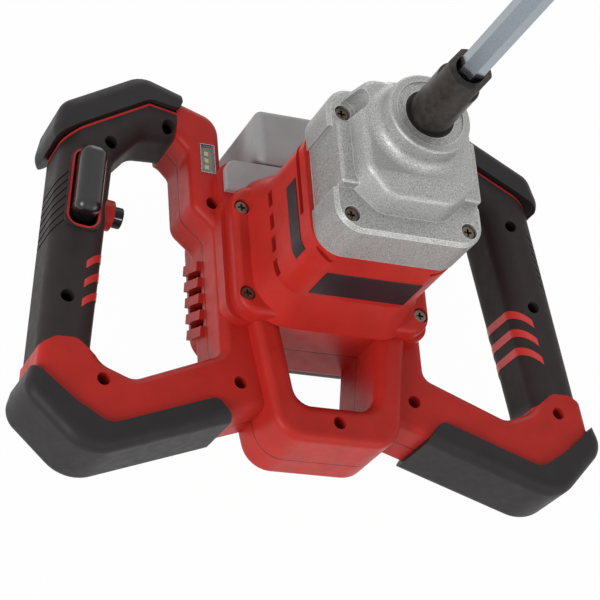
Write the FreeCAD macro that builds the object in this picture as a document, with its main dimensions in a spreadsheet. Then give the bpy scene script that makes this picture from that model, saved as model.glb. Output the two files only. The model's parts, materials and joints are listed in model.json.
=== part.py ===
"""Cordless mixing drill with two closed handles, standing on its motor cover with the spindle upright.

The origin is where the spindle axis meets the surface that the tool stands on.  Z runs along the
spindle, X from the trigger handle to the plain handle, and Y from the carrying loop to the battery.
"""
import FreeCAD, Part
import Sketcher
import math
import os

# Driving dimensions, in millimetres, degrees and counts.
SIZES = {
    # Levels along the spindle
    "hub_height": 220, "hub_length": 15, "case_length": 62, "case_flange": 29, "neck_length": 66,
    "flange_depth": 12, "handle_level": 52, "cover_depth": 22,
    # Spindle and its seats
    "hub_radius": 24.2, "ring_radius": 19.7, "ring_bore": 14.5, "ring_depth": 3, "ring_sink": 0.8,
    "seal_depth": 2, "hub_edge": 1.5, "collar_radius": 12.5, "collar_reach": 44, "collar_flats": 21.6,
    "flats_length": 13, "flats_turn": -42,
    "mouth_radius": 8.2, "mouth_depth": 5, "bearing_seat": 10, "front_bearing_radius": 18,
    "front_bearing_width": 11, "gear_seat": 9, "tail_radius": 5, "tail_bush_radius": 7,
    "running_gap": 0.05, "free_gap": 0.4, "seat_gap": 0.1, "overrun": 20,
    # Stirrer rod
    "rod_flats": 13, "rod_turn": 48, "rod_reach": 176, "stud_radius": 6, "stud_length": 26,
    # Gear train
    "output_module": 1.5, "output_teeth": 33, "lay_pinion_teeth": 11, "output_width": 12,
    "input_module": 1, "lay_gear_teeth": 23, "motor_pinion_teeth": 10, "input_width": 8,
    "pressure_angle": 20, "backlash": 0.12, "pinion_overlap": 2, "stage_gap": 4,
    "lay_radius": 4, "lay_bush_radius": 6.5, "lay_bush_width": 8,
    # Gear case and the plate under it
    "case_half_width": 44, "case_front": 58.5, "case_back": 30, "case_round": 15.5, "case_edge": 2,
    "dome_half_width": 32, "dome_front": 42.5, "dome_back": 26.5, "dome_round": 11, "dome_edge": 4,
    "dome_slope": 14, "cove_radius": 6, "shelf_front": 33, "shelf_back": 5,
    "shelf_rise": 6, "shelf_edge": 2, "side_recess": 2, "dome_draft": 4.5,
    "cavity_half_width": 28.5, "cavity_front": 47, "plate_depth": 8,
    "case_screw_x": 35, "case_screw_back": 13.6, "case_screw_front": 48.6, "scallop_radius": 7.5,
    # Motor
    "motor_radius": 29, "stator_wall": 6.5, "air_gap": 0.7, "stator_length": 56, "stator_level": 60,
    "core_margin": 4, "winding_depth": 6, "winding_inner": 8, "winding_inset": 3, "rotor_slots": 12,
    "slot_width": 3, "slot_depth": 9, "shaft_radius": 4, "motor_bearing_radius": 8.5,
    "motor_bearing_width": 6, "commutator_radius": 10, "commutator_length": 13,
    "commutator_level": 38, "brush_width": 6, "brush_length": 12, "holder_radius": 25,
    "fan_radius": 28, "fan_level": 125, "fan_disc": 2, "fan_depth": 11, "fan_blades": 13,
    "fan_blade": 1.6, "fan_hub": 8,
    # Neck housing and its flange
    "neck_half_width": 45.5, "neck_front": 57.5, "neck_back": 22, "neck_round": 17, "neck_wall": 3,
    "neck_flare": 9, "plate_ledge": 2.5, "flange_half_width": 60.5, "flange_front": 63,
    "flange_back": 19, "flange_round": 13, "flange_edge": 4, "flange_screw_x": 54.5,
    "flange_screw_front": 51, "flange_screw_back": 4, "boss_radius": 6, "bulkhead": 8,
    "vent_width": 4, "vent_length": 44, "vent_start": 30, "vent_drop": 7, "notch_count": 4,
    "notch_length": 9.5, "notch_start": 48, "notch_gap": 5, "notch_width": 5, "notch_rise": 16,
    "floor_vent_count": 6, "pocket_length": 14, "pocket_width": 3.6, "pocket_depth": 2.2,
    "pocket_drop": 6, "pocket_turn": 25, "pocket_tilt": 25,
    # Handle frame
    "half_span": 177, "front_reach": 147, "arm_half_depth": 21, "arm_edge": 5.5, "arm_wall": 4,
    "grip_edge": 11.5, "grip_skin": 5, "grip_skin_depth": 6, "core_wall": 3,
    "grip_low_x": 153.9, "grip_low_y": 80, "grip_high_x": 139.8, "grip_high_y": 27, "grip_half": 16,
    "groove_count": 7, "groove_pitch": 4.8, "groove_start": 18, "groove_width": 0.9,
    "groove_depth": 0.8, "groove_reach": 8, "groove_turn": 40,
    "box_half_width": 63.5, "box_front": 63, "box_back": 40, "box_round": 11, "box_wall": 3.5,
    "box_edge": 4, "bail_low": 22, "bail_high": 31, "bail_edge": 5, "bail_round": 6.5, "bail_wall": 4,
    "bumper_skin": 3.2, "bumper_edge": 7.5, "louver_count": 5, "louver_pitch": 10.5,
    "louver_width": 6, "louver_height": 22, "louver_proud": 3, "louver_slope": 18,
    # Rear cover
    "cover_inset": 7, "cover_edge": 9, "cover_wall": 3, "grille_slots": 7, "grille_pitch": 8,
    "grille_width": 3.5, "cover_round": 16, "cover_screw_inset": 20,
    # Trigger, dial and lamp
    "trigger_start": 72, "trigger_length": 44, "trigger_width": 15.4, "trigger_top": 35,
    "trigger_foot": 14.3, "trigger_round": 6, "trigger_gap": 0.9, "trigger_end_gap": 4,
    "ear_width": 8, "ear_length": 8, "pin_radius": 1.5, "pin_level": 5.5, "pin_half": 10.6,
    "spring_radius": 3.2, "rim_width": 2, "rim_proud": 1.2, "switch_length": 33, "switch_width": 14,
    "switch_depth": 14,
    "dial_start": 87, "dial_level": 8, "bezel_radius": 9, "bezel_proud": 4,
    "dial_radius": 6.2, "dial_length": 5.5, "dial_shaft": 2, "dial_mark": 0.8,
    "lamp_x": 66, "lamp_y": 44.3, "lamp_width": 8.6, "lamp_length": 19, "lamp_depth": 3,
    "lamp_board": 2, "lamp_chip": 2.4, "lamp_chip_pitch": 4.6, "lamp_chip_height": 0.8,
    # Battery
    "pack_half_width": 38, "pack_inner": 41.3, "pack_outer": 78, "pack_low": 3, "pack_high": 85,
    "pack_edge": 5, "pack_wall": 2, "pack_split": 50, "rail_half": 20, "rail_lip": 6, "rail_stem": 3,
    "rail_head": 3, "rail_rise": 40, "rail_gap": 0.4, "contact_half": 15, "contact_height": 14,
    "contact_low": 24, "cell_radius": 9.1, "cell_length": 65, "cell_pitch": 18.3, "cell_count": 4,
    "latch_half": 9, "latch_depth": 6, "latch_proud": 3, "latch_hole": 6, "latch_height": 5.5,
    "latch_gap": 0.5, "dock_half_width": 60, "dock_round": 8, "dock_edge": 1.2, "board_depth": 2,
    "board_half": 38, "board_height": 40, "board_low": 28,
    # Screws
    "screw_head": 3.8, "screw_head_depth": 3.6, "screw_sink": 1.6, "well_gap": 0.9, "screw_shank": 2.2,
    "screw_length": 24, "case_screw_length": 46, "cross_width": 1.3, "cross_length": 4.6,
    "cross_depth": 1.8, "handle_hole": 3.9, "handle_head": 3.4, "handle_head_level": 8,
    "handle_screw_length": 20, "handle_boss": 6.4,
}

# Plan of the right handle in shares of half_span along X and front_reach along Y.  The third share
# is each corner's radius, of half_span.
OUTER_SHARES = [
    (0.178, -0.7374, 0), (0.825, -1.0, 0.13), (0.982, -0.79, 0.08), (0.871, 0.286, 0.078),
    (0.85, 0.43, 0.12), (0.593, 0.612, 0.1), (0.322, 0.497, 0.078), (0.322, 0.204, 0),
    (0.178, 0.204, 0),
]
OPENING_SHARES = [
    (0.362, -0.551, 0.04), (0.66, -0.695, 0.06), (0.793, -0.63, 0.075), (0.69, 0.245, 0.09),
    (0.588, 0.381, 0.075), (0.475, 0.388, 0.035), (0.435, 0.333, 0.035), (0.435, 0.082, 0.056),
    (0.362, 0, 0.045),
]
# The same outlines as far as the grip reaches, on an arm that runs straight on past the column.
GRIP_OUTER_SHARES = OUTER_SHARES[:6] + [(0.178, 0.436, 0)]
GRIP_OPENING_SHARES = [(0.435, -0.6, 0.04)] + OPENING_SHARES[1:7]
# Where the soft grip covers the handle, and where each bumper wraps its outer side.
GRIP_SHARES = [
    (0.66, -0.65, 0), (0.79, -0.615, 0.03), (0.845, -0.56, 0.04), (0.91, -0.56, 0.04),
    (0.985, -0.61, 0.03), (1.12, -0.63, 0), (1.12, 0.75, 0), (0.463, 0.75, 0), (0.486, 0.2, 0),
    (0.66, 0.05, 0),
]
LOWER_BUMPER_SHARES = [
    (0.31, -0.93, 0), (0.352, -0.81, 0.01), (0.395, -0.746, 0.03), (0.752, -0.9, 0.06),
    (0.86, -0.82, 0.05), (0.985, -0.69, 0.02), (1.12, -0.66, 0), (1.12, -1.2, 0), (0.31, -1.2, 0),
]
UPPER_BUMPER_SHARES = [
    (0.47, 0.502, 0.02), (0.571, 0.5265, 0.05), (0.816, 0.364, 0.06),
    (1.12, 0.1245, 0), (1.12, 0.8, 0), (0.4, 0.8, 0), (0.43, 0.62, 0),
]
# Outer outlines of the bumpers, which stand out from the handle at its corners.
LOWER_PAD_SHARES = [
    (0.107, -0.4, 0), (0.107, -0.732, 0), (0.823, -1.03, 0.14), (1.02, -0.785, 0.08), (0.975, -0.63, 0),
    (0.85, -0.5, 0),
]
UPPER_PAD_SHARES = [
    (0.458, 0.204, 0), (0.8, 0.12, 0), (0.905, 0.33, 0.07), (0.873, 0.463, 0.07), (0.596, 0.648, 0.1),
    (0.458, 0.59, 0),
]
# The carrying loop, in the same shares, for its right half.
BAIL_SHARES = [(0.275, -0.4, 0), (0.21, -0.905, 0.1)]
BAIL_OPENING_SHARES = [(0.178, -0.4, 0), (0.136, -0.752, 0.06)]
# The dome's cut-off front corners, in shares of its half width and its front reach.
DOME_CORNER_SHARES = (0.56, 0.68)
# Profile shift of both pinions, tooth root depth and tooth tip height, in shares of the module.
PINION_SHIFT_SHARE = 0.38
ROOT_SHARE = 1.25
TIP_SHARE = 0.95
# Screws that close the two handle shells, seen from the spindle.
LEFT_SCREW_SHARES = [(-0.71, 0.31), (-0.505, 0.43), (-0.872, -0.39), (-0.763, -0.714)]
RIGHT_SCREW_SHARES = [(0.772, 0.207), (0.505, 0.43), (0.819, -0.17), (0.859, -0.646)]
MIDDLE_SCREW_SHARES = [(-0.366, 0.1), (0.366, 0.1), (-0.308, -0.667), (0.308, -0.667), (0, -0.823)]


class Size:
    """A length of the sheet, or a sum of such lengths, with its value and its formula."""

    def __init__(self, value, formula):
        self.value = float(value)
        self.formula = formula

    def __float__(self):
        return self.value

    def __add__(self, other):
        return Size(self.value + float(other), f"({self.formula} + {formula_of(other)})")

    def __radd__(self, other):
        return Size(float(other) + self.value, f"({formula_of(other)} + {self.formula})")

    def __sub__(self, other):
        return Size(self.value - float(other), f"({self.formula} - {formula_of(other)})")

    def __rsub__(self, other):
        return Size(float(other) - self.value, f"({formula_of(other)} - {self.formula})")

    def __mul__(self, other):
        return Size(self.value * float(other), f"({self.formula} * {formula_of(other)})")

    def __rmul__(self, other):
        return self * other

    def __truediv__(self, other):
        return Size(self.value / float(other), f"({self.formula} / {formula_of(other)})")

    def __neg__(self):
        return Size(-self.value, f"(-1 * {self.formula})")


def formula_of(term):
    """The formula of a length, or the number itself."""
    return term.formula if isinstance(term, Size) else repr(float(term))


class Sheet:
    """The spreadsheet that holds the driving dimensions, read by alias."""

    def __init__(self, document):
        self.cells = document.addObject("Spreadsheet::Sheet", "Sizes")
        for row, (alias, value) in enumerate(SIZES.items(), start=1):
            self.cells.set(f"A{row}", alias.replace("_", " "))
            self.cells.set(f"B{row}", str(value))
            self.cells.setAlias(f"B{row}", alias)
        document.recompute()

    def __getattr__(self, alias):
        return Size(self.cells.get(alias), f"Sizes.{alias}")


doc = FreeCAD.newDocument("MixingDrill")
S = Sheet(doc)
parts = []

# Levels that several pieces share.
CASE_BASE = S.hub_height - S.case_length
CASE_SEAT = CASE_BASE + S.case_flange
DOME_TOP = S.hub_height - S.hub_length
NECK_BASE = CASE_BASE - S.neck_length
FLANGE_BASE = NECK_BASE - S.flange_depth
ARM_TOP = S.handle_level + S.arm_half_depth
ARM_BASE = S.handle_level - S.arm_half_depth
COLLAR_TIP = S.hub_height + S.collar_reach
RING_SEAT = S.hub_height - S.ring_depth
BEARING_BASE = RING_SEAT - S.front_bearing_width
INPUT_LEVEL = CASE_BASE + S.pinion_overlap
OUTPUT_LEVEL = INPUT_LEVEL + S.input_width + S.stage_gap
PINION_TOP = OUTPUT_LEVEL + S.output_width + S.pinion_overlap
LAY_TOP = PINION_TOP + S.pinion_overlap + S.lay_bush_width
FLOOR_TOP = S.cover_depth + S.box_wall
BULKHEAD_TOP = FLOOR_TOP + S.bulkhead
CORE_HALF_DEPTH = S.arm_half_depth - S.grip_skin_depth
CASE_SCREW_SEAT = CASE_SEAT - S.screw_head_depth - S.screw_sink
FLANGE_SCREW_SEAT = NECK_BASE - S.screw_head_depth - S.screw_sink
LAMP_DEPTH = S.lamp_depth + S.lamp_board + S.lamp_chip_height + S.seat_gap
# Shaft axes lie on the plane of symmetry, in front of the spindle.
MOTOR_Y = -S.input_module * (S.lay_gear_teeth + S.motor_pinion_teeth) / 2
LAY_Y = -S.output_module * (S.output_teeth + S.lay_pinion_teeth) / 2


def vec(x, y, z):
    """A point in millimetres."""
    return FreeCAD.Vector(float(x), float(y), float(z))


def keep(label, item):
    """Names a finished sub-part and lists it for export."""
    item.Label = label
    parts.append(item)
    return item


def solid_part(label, shape):
    """A sub-part whose shape is made by booleans on the sheet's sizes."""
    item = doc.addObject("Part::Feature", label)
    item.Shape = shape.Solids[0].removeSplitter() if len(shape.Solids) == 1 else shape
    item.Placement = FreeCAD.Placement()
    return keep(label, item)


def bind(item, **formulas):
    """Sets properties of a document object to formulas of the sheet."""
    for name, size in formulas.items():
        item.setExpression(name.replace("__", "."), formula_of(size))


def boxed(label, x0, x1, y0, y1, z0, z1):
    """A plain block as a sub-part, bound to the sheet."""
    item = doc.addObject("Part::Box", label)
    bind(item, Length=x1 - x0, Width=y1 - y0, Height=z1 - z0)
    bind(item, Placement__Base__x=x0, Placement__Base__y=y0, Placement__Base__z=z0)
    return keep(label, item)


def lathe(label, profile, x=0, y=0):
    """A lathe-turned body: profile lists (radius, level) corners round the half section."""
    body = doc.addObject("PartDesign::Body", label)
    plane = next(o for o in body.Origin.OriginFeatures if o.Role == "XZ_Plane")
    sketch = body.newObject("Sketcher::SketchObject", label + "_section")
    sketch.AttachmentSupport = (plane, [""])
    sketch.MapMode = "FlatFace"
    corners = [vec(r, z, 0) for r, z in profile]
    for index, start in enumerate(corners):
        sketch.addGeometry(Part.LineSegment(start, corners[(index + 1) % len(corners)]), False)
    for index, (radius, level) in enumerate(profile):
        before = (index - 1) % len(profile)
        sketch.addConstraint(Sketcher.Constraint("Coincident", before, 2, index, 1))
        for kind, size, axis in (("DistanceX", radius, -2), ("DistanceY", level, -1)):
            if float(size) == 0:
                sketch.addConstraint(Sketcher.Constraint("PointOnObject", index, 1, axis))
                continue
            row = sketch.addConstraint(Sketcher.Constraint(kind, -1, 1, index, 1, float(size)))
            sketch.setExpression(f"Constraints[{row}]", formula_of(size))
    turn = body.newObject("PartDesign::Revolution", label + "_turn")
    turn.Profile = sketch
    turn.ReferenceAxis = (sketch, ["V_Axis"])
    turn.Angle = 360
    bind(body, Placement__Base__x=x, Placement__Base__y=y)
    return body


def turned(label, profile, x=0, y=0):
    """A sub-part that is turned and nothing more."""
    return keep(label, lathe(label, profile, x, y))


def sleeve(label, inner, outer, low, high, x=0, y=0):
    """A turned ring."""
    return turned(label, [(inner, low), (outer, low), (outer, high), (inner, high)], x, y)


def rod(radius, x, y, low, high):
    """An upright cylinder."""
    return Part.makeCylinder(float(radius), float(high) - float(low), vec(x, y, low))


def block(x0, x1, y0, y1, z0, z1):
    """A box between two corners."""
    return Part.makeBox(float(x1) - float(x0), float(y1) - float(y0), float(z1) - float(z0), vec(x0, y0, z0))


def outline(points, level):
    """A closed wire through (x, y, radius) corners, each rounded by a tangent arc."""
    corners = [(vec(x, y, level), float(r)) for x, y, r in points]
    stops = []
    for index, (here, radius) in enumerate(corners):
        back = (corners[index - 1][0] - here).normalize()
        ahead = (corners[(index + 1) % len(corners)][0] - here).normalize()
        if radius == 0:
            stops.append((here, None, here))
            continue
        half = back.getAngle(ahead) / 2
        reach = radius / math.tan(half)
        middle = here + (back + ahead).normalize() * (radius / math.sin(half) - radius)
        stops.append((here + back * reach, middle, here + ahead * reach))
    edges = []
    for index, (start, middle, end) in enumerate(stops):
        if middle is not None:
            edges.append(Part.Arc(start, middle, end).toShape())
        edges.append(Part.LineSegment(end, stops[(index + 1) % len(stops)][0]).toShape())
    return Part.Wire(edges)


def grown(points, margin):
    """The same anticlockwise outline moved out by margin, with its corners still concentric."""
    places = [(vec(x, y, 0), float(r)) for x, y, r in points]
    lines = []
    for index, (here, _) in enumerate(places):
        along = (places[(index + 1) % len(places)][0] - here).normalize()
        lines.append((here + vec(along.y, -along.x, 0) * float(margin), along))
    result = []
    for index, (_, radius) in enumerate(places):
        (p, u), (q, v) = lines[index - 1], lines[index]
        turn = u.x * v.y - u.y * v.x
        share = ((q.x - p.x) * v.y - (q.y - p.y) * v.x) / turn
        corner = p + u * share
        eased = radius + float(margin) * math.copysign(1, turn) if radius else 0
        result.append((corner.x, corner.y, max(eased, 0)))
    return result


def prism(points, low, high):
    """An outline raised from one level to another."""
    return Part.Face(outline(points, low)).extrude(vec(0, 0, float(high) - float(low)))


def drafted(points, margin, low, high):
    """An outline raised with sloping walls, wider by margin at its foot."""
    return Part.makeLoft([outline(grown(points, margin), low), outline(points, high)], True, True)


def oblong(half_width, front, back, radius):
    """A rounded rectangle, symmetric in X, from -front to +back in Y."""
    return [(-half_width, -front, radius), (half_width, -front, radius),
            (half_width, back, radius), (-half_width, back, radius)]


def softened(shape, radius, *levels):
    """Rounds the edges that lie flat at the given levels."""
    flat = []
    for edge in shape.Edges:
        box = edge.BoundBox
        if any(abs(box.ZMin - float(z)) + abs(box.ZMax - float(z)) < float(S.running_gap) for z in levels):
            flat.append(edge)
    return shape.makeFillet(float(radius), flat)


def mirrored(shape):
    """The same shape on the other side of the tool."""
    return shape.mirror(vec(0, 0, 0), vec(1, 0, 0))


def both(shape):
    """A shape and its mirror image, as a list."""
    return [shape, mirrored(shape)]


def plan(shares):
    """An outline from shares of the handle's span and reach."""
    return [(S.half_span * x, S.front_reach * y, S.half_span * r) for x, y, r in shares]


def loop_plan(shares):
    """A symmetric outline from the right half's shares, anticlockwise."""
    right = plan(shares)
    left = [(-x, y, r) for x, y, r in right]
    return left + right[::-1]


def group(label, solids):
    """Separate like solids that share one node."""
    return solid_part(label, Part.makeCompound(solids))


def screw(x, y, seat, head, head_depth, length):
    """A cross-head screw whose head sits on seat, with its shank down to the far end."""
    body = rod(head, x, y, seat, seat + head_depth).fuse(rod(S.screw_shank, x, y, seat - length, seat))
    top = seat + head_depth
    half, arm = S.cross_width / 2, S.cross_length / 2
    for dx, dy in ((arm, half), (half, arm)):
        body = body.cut(block(x - dx, x + dx, y - dy, y + dy, top - S.cross_depth, top))
    return body.removeSplitter()


def tooth_ring(teeth, module, shift, thin):
    """Gear outline: radii of the shifted tooth and its half angle at a radius, by the involute."""
    alpha = math.radians(float(S.pressure_angle))
    pitch = float(module) * float(teeth) / 2
    base = pitch * math.cos(alpha)
    root = pitch - float(module) * (ROOT_SHARE - shift)
    tip = pitch + float(module) * (TIP_SHARE + shift)
    half = (math.pi / 2 + 2 * shift * math.tan(alpha)) / float(teeth) - float(thin) / pitch / 2

    def half_angle(radius):
        lean = math.acos(min(1, base / radius))
        return half + (math.tan(alpha) - alpha) - (math.tan(lean) - lean)
    return root, max(base, root), tip, half_angle


def gear(teeth, module, shift, start, x, y, low, high):
    """A spur gear whose first tooth points along start, in degrees."""
    root, foot, tip, half_angle = tooth_ring(teeth, module, shift, S.backlash)
    count = int(float(teeth))
    step = 2 * math.pi / count

    def at(radius, angle):
        return vec(float(x) + radius * math.cos(angle), float(y) + radius * math.sin(angle), low)
    middle = (foot + tip) / 2
    edges = []
    for index in range(count):
        centre = math.radians(start) + index * step
        wide = half_angle(foot)
        if foot > root:
            edges.append(Part.LineSegment(at(root, centre - wide), at(foot, centre - wide)).toShape())
        for side in (-1, 1):
            ends = [at(r, centre + side * half_angle(r)) for r in (foot, middle, tip)]
            flank = Part.Arc(*ends[::-side]).toShape()
            if side > 0:
                crown = [at(tip, centre + k * half_angle(tip)) for k in (-1, 0, 1)]
                edges.append(Part.Arc(*crown).toShape())
            edges.append(flank)
        if foot > root:
            edges.append(Part.LineSegment(at(foot, centre + wide), at(root, centre + wide)).toShape())
        valley = [at(root, centre + a) for a in (wide, step / 2, step - wide)]
        edges.append(Part.Arc(*valley).toShape())
    face = Part.Face(Part.Wire(edges))
    return face.extrude(vec(0, 0, float(high) - float(low)))


def check_document():
    """Stops if any object failed or any sub-part has no valid shape."""
    for item in doc.Objects:
        if {"Invalid", "Error"} & set(item.State):
            raise RuntimeError(f"{item.Label} did not compute: {item.State}")
    for item in parts:
        if item.Shape.isNull() or not item.Shape.isValid():
            raise RuntimeError(f"{item.Label} has no valid shape")


def write_parts():
    """One file for each sub-part, named by its label."""
    os.makedirs("parts", exist_ok=True)
    for item in parts:
        item.Shape.exportStep(f"parts/{item.Label}.step")


def make_spindle():
    """Spindle with its wrench flats, the output gear, bearings, seal and retaining ring."""
    tail = CASE_BASE - S.plate_depth
    bore_top = COLLAR_TIP - S.mouth_depth
    bore_foot = bore_top - S.stud_length
    turning = lathe("spindle_turning", [
        (0, tail), (S.tail_radius, tail), (S.tail_radius, INPUT_LEVEL), (S.gear_seat, INPUT_LEVEL),
        (S.gear_seat, BEARING_BASE), (S.bearing_seat, BEARING_BASE), (S.bearing_seat, RING_SEAT),
        (S.collar_radius, RING_SEAT), (S.collar_radius, COLLAR_TIP), (S.mouth_radius, COLLAR_TIP),
        (S.mouth_radius, bore_top), (S.stud_radius, bore_top), (S.stud_radius, bore_foot),
        (0, bore_foot),
    ])
    spindle = turning
    for side in (-1, 1):
        flat = doc.addObject("Part::Box", "wrench_flat")
        bind(flat, Length=S.collar_radius, Width=S.collar_radius * 2, Height=S.flats_length)
        edge = S.collar_flats / 2 if side > 0 else -(S.collar_flats / 2 + S.collar_radius)
        turn = math.radians(float(S.flats_turn))
        flat.Placement = FreeCAD.Placement(vec(0, 0, 0), FreeCAD.Rotation(vec(0, 0, 1), float(S.flats_turn)))
        bind(flat, Placement__Base__x=edge * math.cos(turn) + S.collar_radius * math.sin(turn),
             Placement__Base__y=edge * math.sin(turn) - S.collar_radius * math.cos(turn),
             Placement__Base__z=COLLAR_TIP - S.flats_length)
        cut = doc.addObject("Part::Cut", "flatted")
        cut.Base = spindle
        cut.Tool = flat
        spindle = cut
    keep("spindle", spindle)
    first = -90 + 180 / float(S.output_teeth)
    wheel = gear(S.output_teeth, S.output_module, -PINION_SHIFT_SHARE, first, 0, 0, OUTPUT_LEVEL,
                 OUTPUT_LEVEL + S.output_width)
    solid_part("output_gear", wheel.cut(rod(S.gear_seat, 0, 0, OUTPUT_LEVEL, PINION_TOP)))
    sleeve("spindle_front_bearing", S.bearing_seat + S.running_gap, S.front_bearing_radius,
           BEARING_BASE, RING_SEAT)
    sleeve("spindle_rear_bush", S.tail_radius + S.running_gap, S.tail_bush_radius, tail, CASE_BASE)
    sleeve("hub_ring", S.ring_bore, S.ring_radius, RING_SEAT, S.hub_height - S.ring_sink)
    low = S.hub_height - S.seal_depth - S.free_gap
    sleeve("spindle_seal", S.collar_radius + S.running_gap, S.ring_bore, low - S.free_gap,
           low + S.seal_depth - S.free_gap)


def make_stirrer_rod():
    """Hexagonal stirrer rod, screwed into the spindle, with a stud for the paddle at its far end."""
    foot = COLLAR_TIP - S.mouth_depth
    top = S.hub_height + S.rod_reach
    corner = float(S.rod_flats) / math.sqrt(3)
    angles = [math.radians(60 * k + 30 + float(S.rod_turn)) for k in range(6)]
    hexagon = [(corner * math.cos(a), corner * math.sin(a), 0) for a in angles]
    bar = prism(hexagon, foot, top)
    bar = bar.fuse(rod(S.stud_radius - S.running_gap, 0, 0, foot - S.stud_length + S.free_gap, foot))
    stud = rod(S.stud_radius, 0, 0, top, top + S.stud_length)
    solid_part("stirrer_rod", bar.fuse(stud).removeSplitter())


def make_layshaft():
    """Layshaft with its pinion, its large gear and its two bushes."""
    low = CASE_BASE - S.lay_bush_width
    shaft = rod(S.lay_radius, 0, LAY_Y, low, LAY_TOP)
    pinion = gear(S.lay_pinion_teeth, S.output_module, PINION_SHIFT_SHARE, 90, 0, LAY_Y,
                  OUTPUT_LEVEL - S.pinion_overlap, PINION_TOP)
    solid_part("layshaft", shaft.fuse(pinion).removeSplitter())
    first = 90 + 180 / float(S.lay_gear_teeth)
    wheel = gear(S.lay_gear_teeth, S.input_module, -PINION_SHIFT_SHARE, first, 0, LAY_Y, INPUT_LEVEL,
                 INPUT_LEVEL + S.input_width)
    solid_part("layshaft_gear", wheel.cut(rod(S.lay_radius, 0, LAY_Y, INPUT_LEVEL, PINION_TOP)))
    for name, foot in (("layshaft_rear_bush", low), ("layshaft_front_bush", LAY_TOP - S.lay_bush_width)):
        sleeve(name, S.lay_radius + S.running_gap, S.lay_bush_radius, foot, foot + S.lay_bush_width,
               0, LAY_Y)


def make_motor():
    """Motor: shaft with pinion, slotted core, end turns, commutator, fan, field ring and brushes."""
    bearing_low = BULKHEAD_TOP - S.motor_bearing_width
    plate_low = CASE_BASE - S.plate_depth
    shaft = rod(S.shaft_radius, 0, MOTOR_Y, bearing_low, INPUT_LEVEL)
    pinion = gear(S.motor_pinion_teeth, S.input_module, PINION_SHIFT_SHARE, -90, 0, MOTOR_Y,
                  INPUT_LEVEL, INPUT_LEVEL + S.input_width)
    solid_part("motor_shaft", shaft.fuse(pinion).removeSplitter())
    radius = S.motor_radius - S.stator_wall - S.air_gap
    core_low = S.stator_level + S.core_margin
    core_high = S.stator_level + S.stator_length - S.core_margin
    core = rod(radius, 0, MOTOR_Y, core_low, core_high)
    half = S.slot_width / 2
    for index in range(int(float(S.rotor_slots))):
        slot = block(radius - S.slot_depth, radius + S.slot_width, -half, half, core_low, core_high)
        slot.rotate(vec(0, 0, 0), vec(0, 0, 1), 360 * index / float(S.rotor_slots))
        slot.translate(vec(0, MOTOR_Y, 0))
        core = core.cut(slot)
    solid_part("rotor_core", core.cut(rod(S.shaft_radius, 0, MOTOR_Y, core_low, core_high)))
    turns = []
    for foot in (core_low - S.winding_depth, core_high):
        turn = rod(radius - S.winding_inset, 0, MOTOR_Y, foot, foot + S.winding_depth)
        turns.append(turn.cut(rod(S.winding_inner, 0, MOTOR_Y, foot, foot + S.winding_depth)))
    group("rotor_windings", turns)
    sleeve("commutator", S.shaft_radius, S.commutator_radius, S.commutator_level,
           S.commutator_level + S.commutator_length, 0, MOTOR_Y)
    sleeve("stator", S.motor_radius - S.stator_wall, S.motor_radius, S.stator_level,
           S.stator_level + S.stator_length, 0, MOTOR_Y)
    sleeve("motor_rear_bearing", S.shaft_radius + S.running_gap, S.motor_bearing_radius, bearing_low,
           BULKHEAD_TOP, 0, MOTOR_Y)
    sleeve("motor_front_bearing", S.shaft_radius + S.running_gap, S.motor_bearing_radius, plate_low,
           plate_low + S.motor_bearing_width, 0, MOTOR_Y)
    make_brushes()
    make_fan()


def make_brushes():
    """Two carbon brushes in a ring holder round the commutator."""
    middle = S.commutator_level + S.commutator_length / 2
    half = S.brush_width / 2
    start = S.commutator_radius + S.seat_gap
    brushes = []
    for side in (-1, 1):
        ends = sorted((side * start, side * (start + S.brush_length)), key=float)
        brushes.append(block(*ends, MOTOR_Y - half, MOTOR_Y + half, middle - half, middle + half))
    group("brushes", brushes)
    top = S.commutator_level + S.commutator_length
    ring = rod(S.holder_radius, 0, MOTOR_Y, BULKHEAD_TOP, top)
    ring = ring.cut(rod(S.commutator_radius + S.brush_width / 2, 0, MOTOR_Y, BULKHEAD_TOP, top))
    solid_part("brush_holder", ring.cut(Part.makeCompound(brushes)))


def make_fan():
    """Cooling fan: a hub and disc with straight blades."""
    top = S.fan_level + S.fan_depth
    fan = rod(S.fan_radius, 0, MOTOR_Y, S.fan_level, S.fan_level + S.fan_disc)
    fan = fan.fuse(rod(S.fan_hub, 0, MOTOR_Y, S.fan_level, top))
    half = S.fan_blade / 2
    for index in range(int(float(S.fan_blades))):
        blade = block(S.fan_hub - S.fan_blade, S.fan_radius - S.fan_blade, -half, half, S.fan_level, top)
        blade.rotate(vec(0, 0, 0), vec(0, 0, 1), 360 * index / float(S.fan_blades))
        blade.translate(vec(0, MOTOR_Y, 0))
        fan = fan.fuse(blade)
    solid_part("cooling_fan", fan.cut(rod(S.shaft_radius, 0, MOTOR_Y, S.fan_level, top)).removeSplitter())


def case_screw_places():
    """The four gear case screws."""
    rows = (S.case_screw_back, -S.case_screw_front)
    return [(x, y) for y in rows for x in (S.case_screw_x, -S.case_screw_x)]


def flange_screw_places():
    """The four screws of the neck's flange."""
    rows = (S.flange_screw_back, -S.flange_screw_front)
    return [(x, y) for y in rows for x in (S.flange_screw_x, -S.flange_screw_x)]


def dome_profile():
    """The dome's outline at its top, with its front corners cut off."""
    across, along = DOME_CORNER_SHARES
    wide, front, radius = S.dome_half_width, S.dome_front, S.dome_round
    return [(-wide * across, -front, radius), (wide * across, -front, radius),
            (wide, -front * along, radius), (wide, S.dome_back, radius),
            (-wide, S.dome_back, radius), (-wide, -front * along, radius)]


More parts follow.
